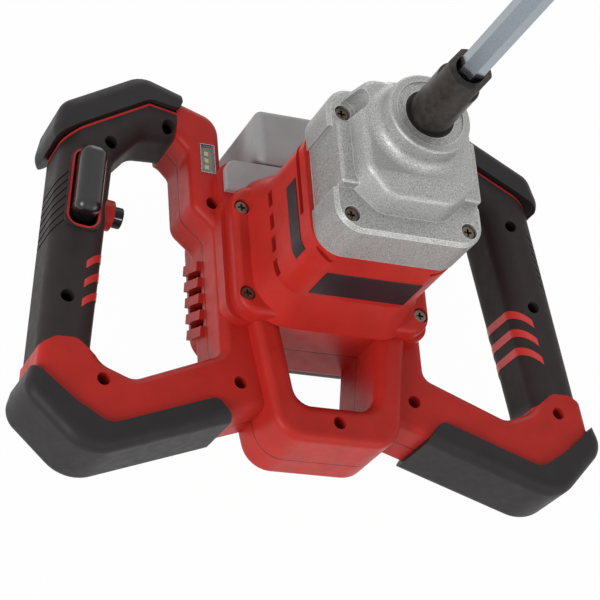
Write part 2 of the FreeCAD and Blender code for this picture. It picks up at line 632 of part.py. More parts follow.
def case_dome():
    """The sloping dome: drafted walls, and a top that falls away in front of the hub."""
    dome = drafted(dome_profile(), S.dome_draft, CASE_SEAT - S.dome_edge, DOME_TOP)
    reach = S.case_half_width + S.overrun
    crest = S.hub_radius + S.cove_radius
    wedge = block(-reach, reach, -crest - reach, -crest, DOME_TOP, DOME_TOP + reach)
    wedge.rotate(vec(0, -crest, DOME_TOP), vec(1, 0, 0), float(S.dome_slope))
    dome = dome.cut(wedge)
    crown = [e for e in dome.Edges if e.BoundBox.ZMin > float(CASE_SEAT)]
    return dome.makeFillet(float(S.dome_edge), crown)


def hub_cove():
    """The hollow curve between the hub and the dome, as far as the dome reaches."""
    foot, top = vec(S.hub_radius + S.cove_radius, 0, DOME_TOP), vec(S.hub_radius, 0, DOME_TOP + S.cove_radius)
    inset = S.cove_radius * (1 - math.sqrt(0.5))
    middle = vec(S.hub_radius + inset, 0, DOME_TOP + inset)
    corner = vec(S.hub_radius, 0, DOME_TOP)
    edges = [Part.LineSegment(corner, foot).toShape(), Part.Arc(foot, middle, top).toShape(),
             Part.LineSegment(top, corner).toShape()]
    ring = Part.Face(Part.Wire(edges)).revolve(vec(0, 0, 0), vec(0, 0, 1), 360)
    return ring.common(prism(dome_profile(), DOME_TOP, DOME_TOP + S.cove_radius))


def case_foot():
    """The case's foot, recessed between its screws, with a raised shelf on each side."""
    foot = prism(oblong(S.case_half_width, S.case_front, S.case_back, S.case_round), CASE_BASE, CASE_SEAT)
    rim = [e for e in foot.Edges if e.BoundBox.ZMin > float(CASE_SEAT - S.running_gap)]
    foot = foot.makeChamfer(float(S.case_edge), rim)
    side = S.case_half_width - S.side_recess
    recess = block(side, S.case_half_width + S.overrun, -S.shelf_front, S.shelf_back, CASE_BASE, CASE_SEAT)
    foot = foot.cut(Part.makeCompound(both(recess)))
    shelf = block(-side, side, -S.shelf_front, S.shelf_back, CASE_SEAT - S.case_edge,
                  CASE_SEAT + S.shelf_rise)
    rims = [e for e in shelf.Edges if e.BoundBox.ZMax > float(CASE_SEAT)]
    return foot.fuse(shelf.makeFillet(float(S.shelf_edge), rims))


def make_gear_case():
    """Cast gear case: a foot, a sloping dome and the hub that holds the front bearing."""
    hub = softened(rod(S.hub_radius, 0, 0, CASE_SEAT, S.hub_height), S.hub_edge, S.hub_height)
    case = case_foot().fuse([case_dome(), hub, hub_cove()])
    for x, y in case_screw_places():
        case = case.cut(rod(S.scallop_radius, x, y, CASE_SEAT, S.hub_height))
        case = case.cut(rod(S.screw_head + S.well_gap, x, y, CASE_SCREW_SEAT, S.hub_height))
        case = case.cut(rod(S.screw_shank + S.seat_gap, x, y, CASE_BASE, CASE_SCREW_SEAT))
    across, along = DOME_CORNER_SHARES
    wide, front, back = S.cavity_half_width, S.cavity_front, S.dome_back + S.free_gap
    room = [(-wide * across, -front, 0), (wide * across, -front, 0), (wide, -front * along, 0),
            (wide, back, 0), (-wide, back, 0), (-wide, -front * along, 0)]
    top = PINION_TOP + S.free_gap
    case = case.cut(prism(room, CASE_BASE, top))
    case = case.cut(rod(S.lay_bush_radius, 0, LAY_Y, PINION_TOP, LAY_TOP + S.free_gap))
    case = case.cut(rod(S.ring_bore, 0, 0, PINION_TOP, BEARING_BASE))
    case = case.cut(rod(S.front_bearing_radius, 0, 0, BEARING_BASE, RING_SEAT))
    case = case.cut(rod(S.ring_radius, 0, 0, RING_SEAT, S.hub_height))
    solid_part("gear_case", case.removeSplitter())
    group("gear_case_screws", [
        screw(x, y, CASE_SCREW_SEAT, S.screw_head, S.screw_head_depth, S.case_screw_length)
        for x, y in case_screw_places()])


def neck_plan(margin=0):
    """The neck's outline, moved out by margin."""
    return grown(oblong(S.neck_half_width, S.neck_front, S.neck_back, S.neck_round), margin)


def make_gear_plate():
    """Bearing plate between the motor and the gears, resting on a ledge in the neck."""
    low = CASE_BASE - S.plate_depth
    plate = prism(neck_plan(-S.neck_wall - S.seat_gap), low, CASE_BASE)
    plate = plate.cut(rod(S.tail_bush_radius, 0, 0, low, CASE_BASE))
    plate = plate.cut(rod(S.motor_bearing_radius, 0, MOTOR_Y, low, low + S.motor_bearing_width))
    plate = plate.cut(rod(S.shaft_radius + S.free_gap, 0, MOTOR_Y, low, CASE_BASE))
    plate = plate.cut(rod(S.lay_bush_radius, 0, LAY_Y, low, CASE_BASE))
    for x, y in case_screw_places():
        plate = plate.cut(rod(S.screw_shank + S.seat_gap, x, y, low, CASE_BASE))
    solid_part("gear_plate", plate)


def make_neck():
    """Neck housing: the flange on the handle frame, a flare, and the walls round the motor."""
    plate_low = CASE_BASE - S.plate_depth
    seat_top = NECK_BASE + S.bulkhead
    seat = FLANGE_SCREW_SEAT
    flange = prism(oblong(S.flange_half_width, S.flange_front, S.flange_back, S.flange_round),
                   FLANGE_BASE, NECK_BASE)
    neck = softened(flange, S.flange_edge, NECK_BASE)
    flare = drafted(neck_plan(), S.neck_flare, FLANGE_BASE + S.flange_edge, NECK_BASE + S.notch_rise)
    neck = neck.fuse([prism(neck_plan(), FLANGE_BASE, CASE_BASE), flare])
    inner = neck_plan(-S.neck_wall - S.plate_ledge)
    neck = neck.cut(prism(inner, FLANGE_BASE, NECK_BASE))
    neck = neck.cut(prism(inner, seat_top, plate_low))
    neck = neck.cut(prism(neck_plan(-S.neck_wall), plate_low, CASE_BASE))
    bosses = [rod(S.boss_radius, x, y, NECK_BASE, plate_low) for x, y in case_screw_places()]
    bosses = [boss.common(prism(neck_plan(), NECK_BASE, plate_low)) for boss in bosses]
    neck = neck.fuse(bosses)
    neck = neck.cut(rod(S.motor_radius + S.running_gap, 0, MOTOR_Y, NECK_BASE, seat_top))
    for x, y in case_screw_places():
        neck = neck.cut(rod(S.screw_shank, x, y, NECK_BASE, CASE_BASE))
    for x, y in flange_screw_places():
        neck = neck.cut(rod(S.screw_head + S.well_gap, x, y, seat, CASE_BASE))
        neck = neck.cut(rod(S.screw_shank + S.seat_gap, x, y, FLANGE_BASE, seat))
    neck = neck.cut(Part.makeCompound(neck_vents() + neck_pockets()))
    solid_part("neck_housing", neck.removeSplitter())
    group("flange_screws", [
        screw(x, y, seat, S.screw_head, S.screw_head_depth, S.screw_length)
        for x, y in flange_screw_places()])


def neck_vents():
    """Air slots through both side walls: one long slot under the gear case, and a row of short ones."""
    wide = S.neck_half_width
    vents = []
    level = CASE_BASE - S.vent_drop
    pitch = S.notch_length + S.notch_gap
    low = NECK_BASE + S.notch_rise
    for side in (-1, 1):
        ends = sorted((side * (wide - S.neck_wall - S.plate_ledge), side * (wide + S.overrun)), key=float)
        vents.append(block(*ends, -S.vent_start, S.vent_length - S.vent_start, level - S.vent_width, level))
        for index in range(int(float(S.notch_count))):
            begin = -S.notch_start + pitch * index
            vents.append(block(*ends, begin, begin + S.notch_length, low, low + S.notch_width))
    return vents


def neck_pockets():
    """A shallow slanted pocket on each front corner of the neck, under the gear case."""
    half, wide = S.pocket_length / 2, S.pocket_width / 2
    pocket = prism(oblong(half, wide, wide, wide - S.running_gap), S.neck_round - S.pocket_depth,
                   S.neck_round + S.pocket_depth)
    pocket.rotate(vec(0, 0, 0), vec(0, 0, 1), float(S.pocket_tilt))
    pocket.rotate(vec(0, 0, 0), vec(1, 0, 0), 90)
    pocket.rotate(vec(0, 0, 0), vec(0, 0, 1), float(S.pocket_turn))
    pocket.translate(vec(S.neck_half_width - S.neck_round, S.neck_round - S.neck_front,
                         CASE_BASE - S.pocket_drop))
    return both(pocket)


def handle_loop(margin, half_depth, edge=None):
    """The right handle's closed loop, thinner by margin all round, with its rims rounded by edge."""
    low, high = S.handle_level - half_depth, S.handle_level + half_depth
    loop = prism(grown(plan(OUTER_SHARES), -margin), low, high)
    loop = loop.cut(prism(grown(plan(OPENING_SHARES), margin), low, high))
    return loop if edge is None else rounded_rims(loop, edge)


def rounded_rims(shape, edge):
    """Rounds the flat rims of a handle shape, outside the body."""
    inside = float(S.box_half_width) / 2
    rims = [e for e in shape.Edges
            if e.BoundBox.ZLength < float(S.running_gap) and e.BoundBox.XMax > inside]
    return shape.makeFillet(float(edge), rims)


def handle_region(shares, margin=0):
    """An upright block over part of the right handle's plan, wider by margin."""
    return prism(grown(plan(shares), margin), ARM_BASE - S.overrun, ARM_TOP + S.overrun)


def screw_places():
    """Every screw that closes the handle shells."""
    shares = LEFT_SCREW_SHARES + RIGHT_SCREW_SHARES + MIDDLE_SCREW_SHARES
    return [(S.half_span * x, S.front_reach * y) for x, y in shares]


def screw_wells():
    """The deep holes that the handle screws sit in."""
    seat = S.handle_level + S.handle_head_level
    return [rod(S.handle_hole, x, y, seat, ARM_TOP + S.overrun) for x, y in screw_places()]


def grip_place():
    """Where the trigger grip's own frame lies: its Y runs up the grip, its Z towards the spindle's nose."""
    lean = math.degrees(math.atan2(float(S.grip_low_x - S.grip_high_x), float(S.grip_high_y + S.grip_low_y)))
    return FreeCAD.Placement(vec(-S.grip_low_x, -S.grip_low_y, S.handle_level),
                             FreeCAD.Rotation(vec(0, 0, 1), -lean))


def on_grip(shape):
    """A shape of the trigger grip's frame, moved to its place."""
    return shape.transformed(grip_place().toMatrix())


def grip_part(label, shape):
    """A sub-part made in the trigger grip's frame and placed there."""
    item = doc.addObject("Part::Feature", label)
    item.Shape = shape.Solids[0].removeSplitter()
    item.Placement = grip_place()
    return keep(label, item)


def cross_rod(radius, start, end, y, z):
    """A cylinder across the grip, in the grip's frame."""
    return Part.makeCylinder(float(radius), float(end) - float(start), vec(start, y, z), vec(1, 0, 0))


def trigger_slot(margin):
    """The opening that the trigger moves in, wider by margin, in the grip's frame."""
    wide = S.trigger_width / 2 + S.trigger_gap + margin
    start = S.trigger_start - S.trigger_end_gap - margin
    end = S.trigger_start + S.trigger_length + S.trigger_gap + margin
    radius = S.trigger_round
    corners = [(-wide, start, radius), (wide, start, radius), (wide, end, radius), (-wide, end, radius)]
    return prism(corners, S.pin_level, S.arm_half_depth + S.overrun)


def hinge_y():
    """How far up the grip the trigger's hinge pin lies."""
    return S.trigger_start + S.trigger_length - S.ear_length / 2


def lamp_box(low, high, margin=0):
    """A block over the work lamp's window."""
    wide, tall = S.lamp_width / 2 + margin, S.lamp_length / 2 + margin
    return block(-S.lamp_x - wide, -S.lamp_x + wide, S.lamp_y - tall, S.lamp_y + tall, low, high)


def bail_rims(bail, inner, *levels):
    """The carrying loop's flat rims at the given levels, round its opening or round its outside."""
    mouth = grown(loop_plan(BAIL_OPENING_SHARES), S.seat_gap)
    end = S.front_reach * BAIL_SHARES[0][1]
    rims = []
    for level in levels:
        inside = prism(mouth, level - S.seat_gap, level + S.seat_gap)
        for edge in bail.Edges:
            box = edge.BoundBox
            if abs(box.ZMin - float(level)) + abs(box.ZMax - float(level)) > float(S.running_gap):
                continue
            if box.YMin > float(end - S.running_gap):
                continue
            if inside.isInside(edge.CenterOfMass, float(S.running_gap), True) == inner:
                rims.append(edge)
    return rims


def frame_body():
    """The whole handle frame before it is hollowed: body box, carrying loop, arms and grip cores."""
    box = prism(oblong(S.box_half_width, S.box_front, S.box_back, S.box_round), S.cover_depth, FLANGE_BASE)
    box = softened(box, S.box_edge, S.cover_depth)
    low, high = S.handle_level - S.bail_low, S.handle_level + S.bail_high
    bail = prism(loop_plan(BAIL_SHARES), low, high).cut(prism(loop_plan(BAIL_OPENING_SHARES), low, high))
    bail = bail.makeFillet(float(S.bail_edge), bail_rims(bail, False, low, high))
    bail = bail.makeFillet(float(S.bail_round), bail_rims(bail, True, high))
    flange = grown(oblong(S.flange_half_width, S.flange_front, S.flange_back, S.flange_round), S.seat_gap)
    bail = bail.cut(prism(flange, FLANGE_BASE, NECK_BASE))
    arm = handle_loop(0, S.arm_half_depth, S.arm_edge).cut(handle_region(GRIP_SHARES))
    return box.fuse([bail, *both(arm), grip_core(1), grip_core(-1)])


def grip_core(side):
    """The hard core under one grip with its screw posts; side is 1 on the right and -1 on the left."""
    core = handle_loop(S.grip_skin, CORE_HALF_DEPTH)
    reach = handle_loop(S.core_wall, CORE_HALF_DEPTH)
    if side < 0:
        core, reach = mirrored(core), mirrored(reach)
    low, high = S.handle_level - CORE_HALF_DEPTH, S.handle_level + CORE_HALF_DEPTH
    places = [(x, y) for x, y in screw_places() if float(x) * side > 0]
    return core.fuse([rod(S.handle_boss, x, y, low, high).common(reach) for x, y in places])


def frame_rooms():
    """The hollows of the handle frame."""
    room = grown(oblong(S.box_half_width, S.box_front, S.box_back, S.box_round), -S.box_wall)
    roof = FLANGE_BASE - S.box_wall
    arm = handle_loop(S.arm_wall, S.arm_half_depth - S.arm_wall)
    arm = arm.cut(handle_region(GRIP_SHARES, S.arm_wall))
    core = handle_loop(S.grip_skin + S.core_wall, CORE_HALF_DEPTH - S.core_wall)
    core = core.common(handle_region(GRIP_SHARES, S.arm_wall + S.seat_gap))
    low, high = S.handle_level - S.bail_low + S.bail_wall, S.handle_level + S.bail_high - S.bail_wall
    bail = prism(grown(loop_plan(BAIL_SHARES), -S.bail_wall), low, high)
    bail = bail.cut(prism(grown(loop_plan(BAIL_OPENING_SHARES), S.bail_wall), low, high))
    motor_way = prism(neck_plan(-S.neck_wall - S.plate_ledge), roof, FLANGE_BASE)
    return [prism(room, FLOOR_TOP, roof), motor_way, bail, *both(arm), *both(core)]


def frame_bosses():
    """Screw posts, the lamp's seat and the rear bearing's boss, inside the frame."""
    low, high = S.handle_level - S.bail_low, S.handle_level + S.bail_high
    posts = [rod(S.handle_boss, x, y, low, high) for x, y in screw_places()]
    for x, y in flange_screw_places():
        posts.append(rod(S.boss_radius, x, y, S.handle_level, FLANGE_BASE))
    posts.append(lamp_box(S.handle_level, ARM_TOP, S.box_wall))
    posts.append(rod(S.commutator_radius + S.boss_radius, 0, MOTOR_Y, S.cover_depth, BULKHEAD_TOP))
    for x, y in cover_screw_places():
        posts.append(rod(S.boss_radius, x, y, S.cover_depth, BULKHEAD_TOP))
    return posts


def frame_holes():
    """Everything that is cut through the hollow frame."""
    seat = S.handle_level + S.handle_head_level
    holes = screw_wells()
    for x, y in screw_places():
        holes.append(rod(S.screw_shank, x, y, seat - S.handle_screw_length, seat))
    for x, y in flange_screw_places():
        holes.append(rod(S.screw_shank, x, y, FLANGE_SCREW_SEAT - S.screw_length, FLANGE_SCREW_SEAT))
    for x, y in cover_screw_places():
        holes.append(rod(S.screw_shank, x, y, S.cover_depth, BULKHEAD_TOP - S.box_wall))
    holes.append(lamp_box(ARM_TOP - LAMP_DEPTH, ARM_TOP, 0))
    holes.append(rod(S.motor_bearing_radius, 0, MOTOR_Y, BULKHEAD_TOP - S.motor_bearing_width, BULKHEAD_TOP))
    holes.append(rod(S.shaft_radius + S.free_gap, 0, MOTOR_Y, S.cover_depth, BULKHEAD_TOP))
    holes.append(on_grip(trigger_slot(0)))
    holes.append(on_grip(cross_rod(S.pin_radius, -S.pin_half, S.pin_half, hinge_y(), S.pin_level)))
    holes.append(on_grip(cross_rod(S.dial_shaft + S.free_gap, 0, S.grip_half, S.dial_start, S.dial_level)))
    return holes + louver_slots() + floor_vents()


def louver_places():
    """Start of each air slat along the side of the body."""
    first = -S.box_front + S.box_round
    return [first + S.louver_pitch * k for k in range(int(float(S.louver_count)))]


def louver(start, width, x0, x1):
    """One slanted slat, or the slot beside it, on the right side of the body."""
    low = S.cover_depth + S.box_edge
    slat = block(x0, x1, start, start + width, low, low + S.louver_height)
    slat.rotate(vec(x0, start, low), vec(1, 0, 0), float(S.louver_slope))
    return slat


def louver_slats():
    """The proud slats beside the body's air slots."""
    outer = S.box_half_width + S.louver_proud
    slats = [louver(y, S.louver_width, S.box_half_width - S.box_wall, outer) for y in louver_places()]
    return [s for slat in slats for s in both(slat)]


def louver_slots():
    """The air slots between the slats."""
    width = S.louver_pitch - S.louver_width
    outer = S.box_half_width + S.overrun
    inner = S.box_half_width - S.box_wall * 2
    slots = [louver(y + S.louver_width, width, inner, outer) for y in louver_places()[:-1]]
    return [s for slot in slots for s in both(slot)]


def floor_vents():
    """Air holes through the body's floor, round the rear bearing."""
    reach = S.holder_radius + S.boss_radius
    count = int(float(S.floor_vent_count))
    angles = [math.radians(360 * k / count) for k in range(count)]
    return [rod(S.boss_radius - S.box_wall / 2, float(reach) * math.cos(a),
                float(MOTOR_Y) + float(reach) * math.sin(a), S.cover_depth, FLOOR_TOP) for a in angles]


def make_frame():
    """The front and rear handle shells, which meet at the handle's middle level."""
    whole = frame_body()
    posts = [post.common(whole) for post in frame_bosses()]
    hollow = whole.cut(Part.makeCompound(frame_rooms()))
    hollow = hollow.fuse(posts + louver_slats())
    for hole in frame_holes():
        hollow = hollow.cut(hole)
    reach = S.half_span + S.overrun
    front = block(-reach, reach, -reach, reach, S.handle_level, S.hub_height)
    rear = block(-reach, reach, -reach, reach, -S.overrun, S.handle_level)
    solid_part("front_shell", hollow.common(front).removeSplitter())
    solid_part("rear_shell", hollow.common(rear).removeSplitter())
    seat = S.handle_level + S.handle_head_level
    group("handle_screws", [
        screw(x, y, seat, S.handle_head, S.screw_head_depth, S.handle_screw_length)
        for x, y in screw_places()])


def bezel_base():
    """How deep the dial's bezel sits: just clear of the hard core, in the grip's frame."""
    return S.grip_half - S.grip_skin + S.free_gap


def bumper_pad(shares):
    """A block over a bumper's own outline, proud of the handle's faces, with rounded rims."""
    reach = S.arm_half_depth + S.bumper_skin
    pad = prism(plan(shares), S.handle_level - reach, S.handle_level + reach)
    handle = prism(plan(OUTER_SHARES), S.handle_level - reach, S.handle_level + reach)
    rims = [e for e in pad.Edges if e.BoundBox.ZLength < float(S.running_gap)]
    rims = [e for e in rims if not handle.isInside(e.CenterOfMass, float(S.running_gap), True)]
    return pad.makeFillet(float(S.bumper_edge), rims)


def grip_grooves():
    """Fine grooves across the outer side of the right grip, as thin as the skin that they score."""
    depth = S.groove_depth
    inner = prism(grown(plan(GRIP_OUTER_SHARES), -depth), ARM_BASE + depth, ARM_TOP - depth)
    inner = rounded_rims(inner, S.grip_edge - depth)
    middle = prism(grown(plan(GRIP_OUTER_SHARES), -S.groove_reach), ARM_BASE, ARM_TOP)
    grooves = []
    for index in range(int(float(S.groove_count))):
        start = S.groove_start - S.groove_pitch * index
        groove = block(S.half_span / 2, S.half_span + S.overrun, start, start + S.groove_width,
                       ARM_BASE, ARM_TOP)
        groove.rotate(vec(S.grip_high_x + S.grip_half, start, S.handle_level), vec(0, 0, 1),
                      -float(S.groove_turn))
        grooves.append(groove.cut([inner, middle]))
    return grooves


def make_grips():
    """Soft grips over both handles and their upper arms, and the four bumpers."""
    full = prism(plan(GRIP_OUTER_SHARES), ARM_BASE, ARM_TOP).cut(
        prism(plan(GRIP_OPENING_SHARES), ARM_BASE, ARM_TOP))
    full = rounded_rims(full, S.grip_edge)
    skin = full.common(handle_region(GRIP_SHARES)).cut(Part.makeCompound(grip_grooves()))
    left = mirrored(skin).cut(grip_core(-1))
    right = skin.cut(grip_core(1))
    bezel = cross_rod(S.bezel_radius, bezel_base(), S.grip_half * 2, S.dial_start, S.dial_level)
    shaft = cross_rod(S.dial_shaft + S.free_gap, 0, S.grip_half, S.dial_start, S.dial_level)
    for hole in (trigger_slot(S.rim_width), bezel, shaft):
        left = left.cut(on_grip(hole))
    for hole in screw_wells():
        left = left.cut(hole)
        right = right.cut(hole)
    solid_part("left_grip", left)
    solid_part("right_grip", right)
    arm = handle_loop(0, S.arm_half_depth, S.arm_edge)
    lower = bumper_pad(LOWER_PAD_SHARES).common(handle_region(LOWER_BUMPER_SHARES)).cut(arm)
    upper = bumper_pad(UPPER_PAD_SHARES).common(handle_region(UPPER_BUMPER_SHARES)).cut(full)
    upper = upper.cut(arm.cut(handle_region(GRIP_SHARES)))
    for name, shape in (("lower", lower), ("upper", upper)):
        solid_part(f"{name}_right_bumper", shape)
        solid_part(f"{name}_left_bumper", mirrored(shape))


def cover_screw_places():
    """The four screws of the rear cover."""
    inset = S.cover_screw_inset
    wide = S.box_half_width - inset
    return [(side * wide, y) for side in (-1, 1) for y in (-S.box_front + inset, S.box_back - inset)]


def make_rear_cover():
    """The motor cover that the tool stands on, with air slots in its sides."""
    inset = S.cover_inset
    base = oblong(S.box_half_width - inset, S.box_front - inset, S.box_back - inset, S.cover_round)
    cover = softened(prism(base, 0, S.cover_depth), S.cover_edge, 0)
    room = prism(grown(base, -S.cover_wall), S.cover_wall, S.cover_depth)
    cover = cover.cut(softened(room, S.cover_edge, S.cover_wall))
    posts = [rod(S.boss_radius, x, y, 0, S.cover_depth) for x, y in cover_screw_places()]
    cover = cover.fuse(posts)
    seat = S.cover_depth / 2
    for x, y in cover_screw_places():
        cover = cover.cut(rod(S.handle_hole, x, y, 0, seat))
        cover = cover.cut(rod(S.screw_shank + S.seat_gap, x, y, seat, S.cover_depth))
    half = S.grille_pitch * (S.grille_slots - 1) / 2
    middle = (S.box_back - S.box_front) / 2
    reach = S.box_half_width + S.overrun
    for index in range(int(float(S.grille_slots))):
        along = middle - half + S.grille_pitch * index
        top = S.cover_depth - S.cover_wall
        cover = cover.cut(block(-reach, reach, along, along + S.grille_width, seat, top))
    solid_part("rear_cover", cover.removeSplitter())
    length = BULKHEAD_TOP - S.box_wall - seat - S.free_gap
    screws = []
    for x, y in cover_screw_places():
        item = screw(x, y, 0, S.handle_head, S.screw_head_depth, length)
        item.rotate(vec(x, y, 0), vec(1, 0, 0), 180)
        item.translate(vec(0, 0, seat))
        screws.append(item)
    group("cover_screws", screws)


def make_trigger():
    """Trigger lever, its hinge pin and return spring, the switch that it presses and the rim round it."""
    wide, end = S.trigger_width / 2, S.trigger_start + S.trigger_length
    lever = block(-wide, wide, S.trigger_start, end, S.trigger_foot, S.trigger_top)
    rims = [e for e in lever.Edges if e.BoundBox.ZMax > float(S.trigger_foot + S.running_gap)]
    lever = lever.makeFillet(float(S.trigger_round), rims)
    ear = block(-S.ear_width / 2, S.ear_width / 2, end - S.ear_length, end - S.running_gap,
                S.pin_level - S.spring_radius, S.trigger_foot + S.trigger_round)
    bore = cross_rod(S.pin_radius + S.running_gap, -S.pin_half, S.pin_half, hinge_y(), S.pin_level)
    grip_part("trigger", lever.fuse(ear).cut(bore))
    grip_part("trigger_pin", cross_rod(S.pin_radius, -S.pin_half, S.pin_half, hinge_y(), S.pin_level))
    start = S.ear_width / 2 + S.free_gap
    coil = cross_rod(S.spring_radius, start, start + S.spring_radius, hinge_y(), S.pin_level)
    grip_part("trigger_spring", coil.cut(cross_rod(S.pin_radius, 0, S.pin_half, hinge_y(), S.pin_level)))
    rim = trigger_slot(S.rim_width).cut(trigger_slot(0))
    low, high = CORE_HALF_DEPTH, S.arm_half_depth + S.rim_proud
    grip_part("trigger_rim", rim.common(block(-S.half_span, S.half_span, 0, S.half_span, low, high)))
    floor = -CORE_HALF_DEPTH + S.core_wall
    half = S.switch_width / 2
    grip_part("trigger_switch", block(-half, half, S.trigger_start, S.trigger_start + S.switch_length,
                                      floor, floor + S.switch_depth))


def make_dial():
    """Speed dial on the inner side of the trigger grip, in a round bezel."""
    base, face = bezel_base(), S.grip_half + S.bezel_proud
    bezel = cross_rod(S.bezel_radius, base, face, S.dial_start, S.dial_level)
    rim = [e for e in bezel.Edges if e.BoundBox.XMin > float(face - S.running_gap)]
    bezel = bezel.makeFillet(float(S.dial_mark), rim)
    bore = cross_rod(S.dial_shaft + S.running_gap, base, face, S.dial_start, S.dial_level)
    grip_part("dial_bezel", bezel.cut(bore))
    start = face + S.free_gap
    knob = cross_rod(S.dial_radius, start, start + S.dial_length, S.dial_start, S.dial_level)
    rim = [e for e in knob.Edges if e.BoundBox.XMin > float(start + S.free_gap)]
    knob = knob.makeFillet(float(S.dial_mark), rim)
    shaft = cross_rod(S.dial_shaft, S.grip_half / 2, start, S.dial_start, S.dial_level)
    mark = block(start + S.dial_length - S.dial_mark, start + S.dial_length, S.dial_start,
                 S.dial_start + S.dial_radius, S.dial_level - S.dial_mark / 2, S.dial_level + S.dial_mark / 2)
    grip_part("speed_dial", knob.fuse(shaft).cut(mark))


def make_lamp():
    """Work lamp in the left column: a clear window over a board with three light chips."""
    board_top = ARM_TOP - LAMP_DEPTH + S.lamp_board
    wide, tall = S.lamp_width / 2 - S.running_gap, S.lamp_length / 2 - S.running_gap
    boxed("lamp_window", -S.lamp_x - wide, -S.lamp_x + wide, S.lamp_y - tall, S.lamp_y + tall,
          ARM_TOP - S.lamp_depth, ARM_TOP)
    board = lamp_box(ARM_TOP - LAMP_DEPTH, board_top, -S.running_gap)
    half = S.lamp_chip / 2
    chips = []
    for step in (-1, 0, 1):
        y = S.lamp_y + S.lamp_chip_pitch * step
        chips.append(block(-S.lamp_x - half, -S.lamp_x + half, y - half, y + half, board_top,
                           board_top + S.lamp_chip_height))
    solid_part("lamp_board", board.fuse(chips).removeSplitter())


def rail_section(margin, low, high):
    """The battery rail's T section, wider by margin."""
    half, lip = S.rail_half + margin, S.rail_half + S.rail_lip + margin
    neck = S.box_back + S.rail_stem
    stem = block(-half, half, S.box_back, neck, low, high)
    head = block(-lip, lip, neck - margin, neck + S.rail_head + margin, low, high)
    return stem.fuse(head).removeSplitter()


def make_battery():
    """Battery pack: two case halves, cells and the latch, on a rail with the terminal block."""
    wide = S.pack_half_width
    solid_part("battery_rail", rail_section(0, S.rail_rise, FLANGE_BASE))
    boxed("terminal_block", -S.contact_half, S.contact_half, S.box_back,
          S.box_back + S.rail_stem + S.rail_head / 2, S.contact_low, S.contact_low + S.contact_height)
    pack = block(-wide, wide, S.pack_inner, S.pack_outer, S.pack_low, S.pack_high)
    pack = pack.makeFillet(float(S.pack_edge), pack.Edges)
    wall = S.pack_wall
    inner = S.box_back + S.rail_stem + S.rail_head + S.rail_gap + wall
    room = block(-wide + wall, wide - wall, inner, S.pack_outer - wall, S.pack_low + wall, S.pack_high - wall)
    latch_low = S.pack_high - S.latch_hole
    latch_y = S.pack_split + wall
    latch_end = latch_y + S.latch_depth + S.latch_gap * 2
    well = block(-S.latch_half - S.latch_gap, S.latch_half + S.latch_gap, latch_y, latch_end, latch_low,
                 S.pack_high)
    cup = block(-S.latch_half - S.latch_gap - wall, S.latch_half + S.latch_gap + wall, S.pack_split,
                latch_end + wall, latch_low - wall, S.pack_high).common(pack)
    slot = rail_section(S.rail_gap, S.pack_low, FLANGE_BASE + S.rail_gap)
    hollow = pack.cut(room)
    lid = hollow.common(block(-wide, wide, S.pack_inner, S.pack_split, S.pack_low, S.pack_high)).cut(slot)
    case = hollow.common(block(-wide, wide, S.pack_split, S.pack_outer, S.pack_low, S.pack_high))
    cells = []
    back = S.pack_outer - wall - S.cell_radius - S.free_gap
    first = S.pack_low + wall + S.cell_radius + S.free_gap
    for index in range(int(float(S.cell_count))):
        foot = vec(-S.cell_length / 2, back, first + S.cell_pitch * index)
        cells.append(Part.makeCylinder(float(S.cell_radius), float(S.cell_length), foot, vec(1, 0, 0)))
    solid_part("battery_lid", lid.removeSplitter())
    solid_part("battery_case", case.fuse(cup).cut(well).removeSplitter())
    group("battery_cells", cells)
    top = S.pack_high + S.latch_proud
    latch = block(-S.latch_half, S.latch_half, latch_y + S.latch_gap, latch_end - S.latch_gap,
                  top - S.latch_height, top)
    crown = [e for e in latch.Edges if e.BoundBox.ZMin > float(top - S.running_gap)]
    solid_part("battery_latch", latch.makeFillet(float(S.latch_gap) * 2, crown))


def make_dock():
    """The plate behind the flange, at the battery's end of the body."""
    wide, front, top = S.dock_half_width, S.flange_back + S.free_gap, FLANGE_BASE + S.flange_edge - S.free_gap
    plate = prism([(-wide, front, 0), (wide, front, 0), (wide, S.box_back, S.dock_round),
                   (-wide, S.box_back, S.dock_round)], FLANGE_BASE, top)
    plate = softened(plate, S.dock_edge, top)
    solid_part("battery_dock", plate.cut(prism(neck_plan(S.free_gap), FLANGE_BASE, top)))


def make_control_board():
    """Motor control board on the inner wall of the body."""
    wall = S.box_back - S.box_wall
    boxed("control_board", -S.board_half, S.board_half, wall - S.board_depth, wall, S.board_low,
          S.board_low + S.board_height)


make_spindle()
make_stirrer_rod()
make_layshaft()
make_motor()
make_gear_case()
make_gear_plate()
make_neck()
make_frame()
make_grips()
make_rear_cover()
make_trigger()
make_dial()
make_lamp()
make_battery()
make_dock()
make_control_board()
doc.recompute()
check_document()
write_parts()
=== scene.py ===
"""Finishes and detail for a mixing drill: castings, moulded shells, soft grips, trim and work lamp."""

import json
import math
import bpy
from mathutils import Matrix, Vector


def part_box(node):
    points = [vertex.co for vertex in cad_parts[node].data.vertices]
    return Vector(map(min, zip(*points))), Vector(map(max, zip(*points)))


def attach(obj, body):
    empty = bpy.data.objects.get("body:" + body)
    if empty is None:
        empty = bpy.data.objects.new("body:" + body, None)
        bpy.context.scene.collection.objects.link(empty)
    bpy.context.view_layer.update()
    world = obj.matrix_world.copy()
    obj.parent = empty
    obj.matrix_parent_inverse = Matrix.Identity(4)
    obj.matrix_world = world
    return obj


bl_info = {
    "name": "Mixing Drill Finish",
    "version": (1, 0, 0),
    "blender": (4, 5, 0),
    "location": "View3D > Sidebar > Mixing Drill",
    "description": "Gives the mixing drill its finishes, trim and studio",
    "category": "Object",
}

import bmesh
import bpy
from bpy.props import FloatProperty, FloatVectorProperty, IntProperty, PointerProperty
from mathutils import Matrix, Vector

